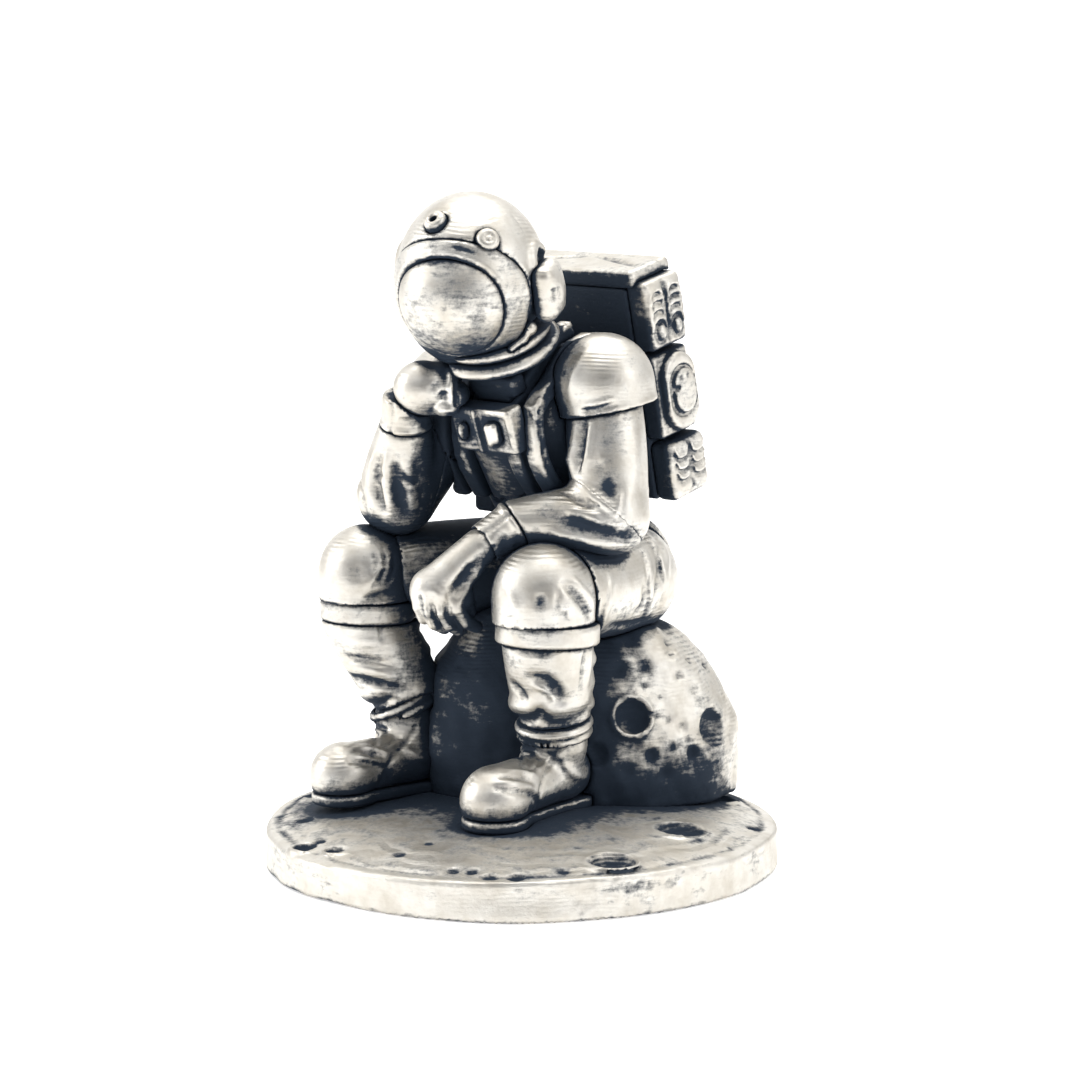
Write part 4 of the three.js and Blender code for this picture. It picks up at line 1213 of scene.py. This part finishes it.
SKY_STEPS = (0.8, 1.7, 2.9, 4.3, 6.0, 8.0, 10.5)
SKY_LIFT, SKY_FADE = 0.5, 24        # where a ray starts, and how far off metal stops counting
BELOW = 0.55                        # how much a ray that points down counts as open sky; the rest darkens undersides as painted shade


def hidden(v, n):
    """The share of the sky over each point that other metal covers, a ray that points down counting as partly
    covered: oxide in sheltered places, and painted shade there and on undersides.
    """
    seen, weight = np.zeros(v.shape[1], np.float32), np.full(v.shape[1], 1e-6, np.float32)
    flat, shape = solid.ravel(), np.array(solid.shape)
    for ray in RAYS:
        w = (n * col(ray)).sum(0)
        go = w > 0.08
        start = (v[:, go] + n[:, go] * SKY_LIFT - world_low[:, None].astype(np.float32)) / VOXEL + 0.5
        clear = np.ones(start.shape[1], np.float32)
        for s in SKY_STEPS:
            i = np.clip((start + col(ray) * np.float32(s / VOXEL)).astype(np.int32), 0, shape[:, None] - 1)
            clear *= 1 - flat[(i[0] * shape[1] + i[1]) * shape[2] + i[2]] * np.float32(1 - s / SKY_FADE)
        seen[go] += w[go] * clear * (1.0 if ray[2] > -0.1 else BELOW)
        weight[go] += w[go]
    return 1 - seen / weight


CLOSE_STEPS = ((0.3, 0.2), (0.8, 0.4), (1.6, 0.4))      # distance off the surface and its weight
NEIGHBOUR, JOINT_REACH, JOINT_WIDTH = 1.3, 0.5, 0.2


def shade(pc):
    """Close: how boxed-in a point is, with the marks' dark and bright added. Joint: how near another piece
    is. The third: how much sky other metal hides, oxide in shelter with painted shade there and on
    undersides.
    """
    v, n = pc["verts"], pc["normals"]
    low, high = pc["low"] - NEIGHBOUR, pc["high"] + NEIGHBOUR
    near = [c for c in PIECES if c is not pc and np.all(c["low"] < high) and np.all(c["high"] > low)]
    close = np.zeros(v.shape[1], np.float32)
    for step, weight in CLOSE_STEPS:
        q = v + n * step
        d = in_chunks(pc["form"], q)
        for c in near:
            inside = np.all((q > c["low"][:, None] - step) & (q < c["high"][:, None] + step), axis=0)
            if inside.any():
                d[inside] = np.minimum(d[inside], c["form"](q[:, inside]))
        close += weight * np.clip(1 - d / step, 0, 1)
    joint = np.full(v.shape[1], 9, np.float32)
    for c in near:
        if c["gap"] < SEAM or pc["gap"] < SEAM and c["node"].startswith("upper_arm"):
            continue
        inside = np.all((v > c["low"][:, None] - JOINT_REACH) & (v < c["high"][:, None] + JOINT_REACH),
                        axis=0)
        if inside.any():
            joint[inside] = np.minimum(joint[inside], c["form"](v[:, inside]))
    # the marks' dark and bright: oxide in grooves, rubbed ridges, and the painted shade, painted highlights
    # and painted reflections of some flat marks
    if pc["relief"]:
        close += pc["relief"](v)[1]
    pc["close"] = np.clip(close, -1, 2)
    pc["joint"] = np.exp(-(np.maximum(joint, 0) / JOINT_WIDTH) ** 2)
    pc["broad"] = hidden(v, n)


with ThreadPoolExecutor(WORKERS) as pool:
    list(pool.map(sculpt, sorted(PIECES, key=lambda p: -np.prod(p["high"] - p["low"]))))
    for where, amount in pool.map(fill, PIECES):
        solid[where] = np.maximum(solid[where], amount)
    list(pool.map(shade, PIECES))


# ---- materials -----------------------------------------------------------------------------------
class Graph:
    def __init__(self, tree):
        self.tree = tree

    def node(self, kind, **values):
        n = self.tree.nodes.new(kind)
        for key, value in values.items():
            if key.startswith("i_"):
                n.inputs[key[2:].replace("_", " ")].default_value = value
            else:
                setattr(n, key, value)
        return n

    def link(self, a, b):
        self.tree.links.new(a, b)

    def surface(self):
        bsdf = self.node("ShaderNodeBsdfPrincipled")
        self.link(bsdf.outputs[0], self.node("ShaderNodeOutputMaterial").inputs[0])
        return bsdf

    def height_of(self, vector):
        split = self.node("ShaderNodeSeparateXYZ")
        self.link(vector, split.inputs[0])
        return split.outputs["Z"]

    def math(self, op, a, b=None, clamp=False):
        n = self.node("ShaderNodeMath", operation=op, use_clamp=clamp)
        for i, v in enumerate((a, b)):
            if v is None:
                continue
            if isinstance(v, (int, float)):
                n.inputs[i].default_value = v
            else:
                self.link(v, n.inputs[i])
        return n.outputs[0]

    def total(self, value, *parts):
        """value plus each part times its weight; a third number is the part's middle, taken off first."""
        for part, weight, *middle in parts:
            if middle:
                part = self.math("SUBTRACT", part, middle[0])
            value = self.math("ADD", value, self.math("MULTIPLY", part, weight))
        return value

    def attribute(self, name):
        return self.node("ShaderNodeAttribute", attribute_name=name, attribute_type="GEOMETRY").outputs["Fac"]

    def noise(self, vector, scale, detail=3.0, rough_=0.6, distortion=0.0):
        n = self.node("ShaderNodeTexNoise", i_Scale=scale, i_Detail=detail, i_Roughness=rough_,
                      i_Distortion=distortion)
        self.link(vector, n.inputs["Vector"])
        return n.outputs["Fac"]

    def stretch(self, vector, scale, turn):
        n = self.node("ShaderNodeMapping")
        n.inputs["Scale"].default_value = scale
        n.inputs["Rotation"].default_value = turn
        self.link(vector, n.inputs["Vector"])
        return n.outputs[0]

    def ramp(self, value, stops):
        n = self.node("ShaderNodeValToRGB")
        while len(n.color_ramp.elements) < len(stops):
            n.color_ramp.elements.new(0.5)
        for e, (pos, c) in zip(n.color_ramp.elements, stops):
            e.position = pos
            e.color = (*c, 1)
        self.link(value, n.inputs[0])
        return n.outputs[0]

    def remap(self, value, a, b, c=0.0, d=1.0, smooth=True):
        n = self.node("ShaderNodeMapRange")
        n.interpolation_type = "SMOOTHSTEP" if smooth else "LINEAR"
        self.link(value, n.inputs["Value"])
        for key, v in (("From Min", a), ("From Max", b), ("To Min", c), ("To Max", d)):
            n.inputs[key].default_value = v
        return n.outputs["Result"]


def new_material(name):
    m = bpy.data.materials.new(name)
    m.use_nodes = True
    m.node_tree.nodes.clear()
    return m, Graph(m.node_tree)


SILVER = (0.80, 0.775, 0.72)
WORN_SILVER = (0.60, 0.56, 0.49)
OXIDE = (0.026, 0.038, 0.058)
LAYER = 0.00024     # height of one layer of the casting pattern, m


def silver(name, tarnish=0.0, polish=0.0, pitting=0.0, layers=1.0):
    """Cast silver: polished where a cloth reaches, navy oxide where it doesn't; the same mask also paints
    shade and highlights.

    tarnish: how much oxide was left; polish: how smooth the bright metal is;
    pitting: casting roughness; layers: how strongly the pattern's layer lines show."""
    m, g = new_material(name)
    place = g.node("ShaderNodeTexCoord").outputs["Object"]
    normal = g.node("ShaderNodeNewGeometry").outputs["Normal"]
    close, joint, broad = g.attribute("close"), g.attribute("joint"), g.attribute("broad")
    blotch = g.noise(place, 420, 4, 0.65)
    grain = g.noise(place, 2600, 4, 0.7)
    streak = g.noise(g.stretch(place, (1000, 1000, 4200), (0.5, 0.35, 0.2)), 1.0, 3, 0.6, 0.4)
    # the pattern's layers: contour lines, clearest where the surface lies flat
    level = g.math("ADD", g.height_of(place), g.math("MULTIPLY", g.noise(place, 170, 2), 0.0009))
    saw = g.math("MULTIPLY", g.math("PINGPONG", level, LAYER / 2), 2 / LAYER)
    flatness = g.remap(g.math("ABSOLUTE", g.height_of(normal)), 0.15, 0.8, 0.1, 1.0)
    contour = g.math("MULTIPLY", flatness, g.remap(g.noise(place, 260, 2), 0.4, 0.62, 0.1, 1.0))
    contour = g.math("MULTIPLY", contour, g.math("SUBTRACT", saw, 0.5))
    # how dark: oxide in crevices, joints and sheltered sides, painted shade on sheltered sides and
    # undersides, and the painted shade and highlights of some marks, broken up by blotches and rubbing
    # streaks
    dark = g.total(g.remap(broad, 0.14, 0.72, 0.0, 0.95), (close, 0.85), (joint, 0.2), (blotch, 1.3, 0.5),
                   (streak, 0.8, 0.5), (grain, 0.9, 0.5), (contour, 0.22 * layers))
    dark = g.math("ADD", dark, tarnish)
    mask = g.remap(dark, 0.16, 0.95)
    colour = g.node("ShaderNodeMix", data_type="RGBA")
    g.link(mask, colour.inputs["Factor"])
    tint = g.ramp(blotch, [(0.3, WORN_SILVER), (0.62, SILVER)])
    g.link(tint, colour.inputs["A"])
    colour.inputs["B"].default_value = (*OXIDE, 1)
    rough_v = g.math("ADD", g.math("MULTIPLY", mask, 0.26), g.math("MULTIPLY", streak, 0.2))
    rough_v = g.math("ADD", rough_v, 0.34 - 0.10 * polish, True)
    bsdf = g.surface()
    g.link(colour.outputs["Result"], bsdf.inputs["Base Color"])
    g.link(rough_v, bsdf.inputs["Roughness"])
    bsdf.inputs["Specular IOR Level"].default_value = 0.15
    g.link(g.remap(mask, 0.3, 0.9, 1.0, 0.15, False), bsdf.inputs["Metallic"])
    # fine relief: layer lines (steps in height), rubbing streaks, grain and pits
    relief = g.total(g.math("MULTIPLY", contour, 1.6 * layers), (streak, 0.7), (grain, 0.5 + 1.5 * pitting),
                     (blotch, 1.2))
    bump = g.node("ShaderNodeBump")
    bump.inputs["Strength"].default_value = 0.6
    bump.inputs["Distance"].default_value = 0.00003
    g.link(relief, bump.inputs["Height"])
    g.link(bump.outputs[0], bsdf.inputs["Normal"])
    return m


MATERIALS = {
    "cast_suit": silver("cast_suit_silver", 0.05, 0.2, 0.2),
    "cast_equipment": silver("cast_equipment_silver", 0.16, 0.0, 0.3, 0.6),
    "cast_ground": silver("cast_ground_silver", 0.2, -0.3, 0.8, 1.6),
    "polished_visor": silver("polished_visor_silver", 0.2, 0.3, 0.0, 0.3),
}


# ---- the objects -----------------------------------------------------------------------------------
def added(name, data):
    obj = bpy.data.objects.new(name, data)
    bpy.context.scene.collection.objects.link(obj)
    return obj


def make_object(pc):
    verts, quads = pc["verts"], pc["quads"]
    mesh = bpy.data.meshes.new(pc["node"] + "_cast")
    mesh.vertices.add(verts.shape[1])
    mesh.vertices.foreach_set("co", (verts.T * MM).astype(np.float32).ravel())
    mesh.loops.add(quads.size)
    mesh.loops.foreach_set("vertex_index", quads.astype(np.int32).ravel())
    mesh.polygons.add(len(quads))
    mesh.polygons.foreach_set("loop_start", np.arange(0, quads.size, 4, dtype=np.int32))
    mesh.polygons.foreach_set("use_smooth", np.ones(len(quads), bool))
    for key in ("close", "joint", "broad"):
        layer = mesh.attributes.new(key, "FLOAT", "POINT")
        layer.data.foreach_set("value", pc[key].astype(np.float32))
    mesh.update(calc_edges=True)
    mesh.validate()
    obj = added(pc["node"] + "_cast", mesh)
    mesh.materials.append(MATERIALS[pc["slot"]])
    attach(obj, "root")
    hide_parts(pc["node"])
    return len(quads)


faces = sum(make_object(pc) for pc in PIECES)
print("faces", faces, "triangles", 2 * faces)


# ---- the studio ------------------------------------------------------------------------------------
def card(name, centre, half_w, half_h, toward, material):
    centre = np.asarray(centre, float)
    back = unit(centre - np.asarray(toward, float))
    right = unit(np.cross((0, 0, 1), back))
    up = np.cross(back, right)
    mesh = bpy.data.meshes.new(name)
    corners = [centre + right * sx * half_w + up * sy * half_h for sx,
               sy in ((-1, -1), (1, -1), (1, 1), (-1, 1))]
    mesh.from_pydata([tuple(c * MM) for c in corners], [], [(0, 1, 2, 3)])
    obj = added(name, mesh)
    mesh.materials.append(material)
    return obj


def plain(name, colour, rough_v=0.6, glow=0.0):
    m, g = new_material(name)
    bsdf = g.surface()
    bsdf.inputs["Base Color"].default_value = (*colour, 1)
    bsdf.inputs["Roughness"].default_value = rough_v
    bsdf.inputs["Emission Color"].default_value = (1, 1, 1, 1)
    bsdf.inputs["Emission Strength"].default_value = glow
    return m


floor_mesh = bpy.data.meshes.new("studio_floor")
F = 1500 * MM
floor_mesh.from_pydata([(-F, -F, 0), (F, -F, 0), (F, F, 0), (-F, F, 0)], [], [(0, 1, 2, 3)])
floor = added("studio_floor", floor_mesh)
floor_mesh.materials.append(plain("studio_floor_white", (0.93, 0.93, 0.93), glow=0.45))

# camera: a product view from the figure's front left, a little above
AZIMUTH, DISTANCE, HEIGHT = math.radians(42), 200.0, 50.2
PITCH, ASIDE, LENS = math.radians(8.76), math.radians(-0.33), 113.5
toward_camera = np.array([math.sin(AZIMUTH), -math.cos(AZIMUTH), 0])
eye = toward_camera * DISTANCE + (0, 0, HEIGHT)
cam_data = bpy.data.cameras.new("camera")
cam_data.lens = LENS
cam_data.sensor_width = 36
cam_data.clip_start = 0.01
cam = added("camera", cam_data)
cam.location = Vector(eye * MM)
cam.rotation_euler = (math.pi / 2 - PITCH, 0, AZIMUTH + ASIDE)
bpy.context.scene.camera = cam

card("studio_backdrop", -toward_camera * 1400 + (0, 0, 300), 900, 320, eye,
     plain("studio_backdrop_white", (0.9, 0.9, 0.9), glow=0.6))

# the dark slit of the light tent that the lens looks through; only reflections see it
slit = card("tent_slit", eye + toward_camera * 20, 52, 120, (0, 0, 20),
            plain("tent_slit_black", (0.01, 0.012, 0.018)))
slit.visible_camera = False
slit.visible_diffuse = False
slit.visible_shadow = False


LAMP_AIM = (0, 0, 18)


def lamp(name, spot, size, watts):
    data = bpy.data.lights.new(name, "AREA")
    data.shape = "DISK"
    data.size = size * MM
    data.energy = watts
    obj = added(name, data)
    obj.location = Vector(np.asarray(spot, float) * MM)
    obj.rotation_euler = (Vector(spot) - Vector(LAMP_AIM)).to_track_quat("Z", "Y").to_euler()


lamp("top_soft", (-20, 40, 260), 240, 0.30)
lamp("right_soft", (240, 60, 120), 160, 0.10)
lamp("left_soft", (-190, -150, 110), 160, 0.20)

world = bpy.data.worlds.new("tent")
bpy.context.scene.world = world
world.use_nodes = True
w = Graph(world.node_tree)
background = world.node_tree.nodes["Background"]
ahead_of = w.node("ShaderNodeVectorMath", operation="DOT_PRODUCT")
direction = w.node("ShaderNodeTexCoord").outputs["Generated"]
w.link(direction, ahead_of.inputs[0])
ahead_of.inputs[1].default_value = tuple(unit(toward_camera + (0, 0, -0.05)))
across_view = w.ramp(ahead_of.outputs["Value"],
                     [(0.35, (1.0, 1.0, 1.0)), (0.75, (0.60, 0.62, 0.66)), (0.97, (0.22, 0.24, 0.28))])
upward = w.ramp(w.height_of(direction), [(0.0, (0.62, 0.62, 0.63)), (0.25, (0.70, 0.70, 0.70)),
                                      (0.8, (1.05, 1.04, 1.02))])
both = w.node("ShaderNodeMix", data_type="RGBA", blend_type="MULTIPLY")
both.inputs["Factor"].default_value = 1.0
w.link(across_view, both.inputs["A"])
w.link(upward, both.inputs["B"])
w.link(both.outputs["Result"], background.inputs["Color"])
background.inputs["Strength"].default_value = 1.0
bpy.context.scene.view_settings.view_transform = "Standard"
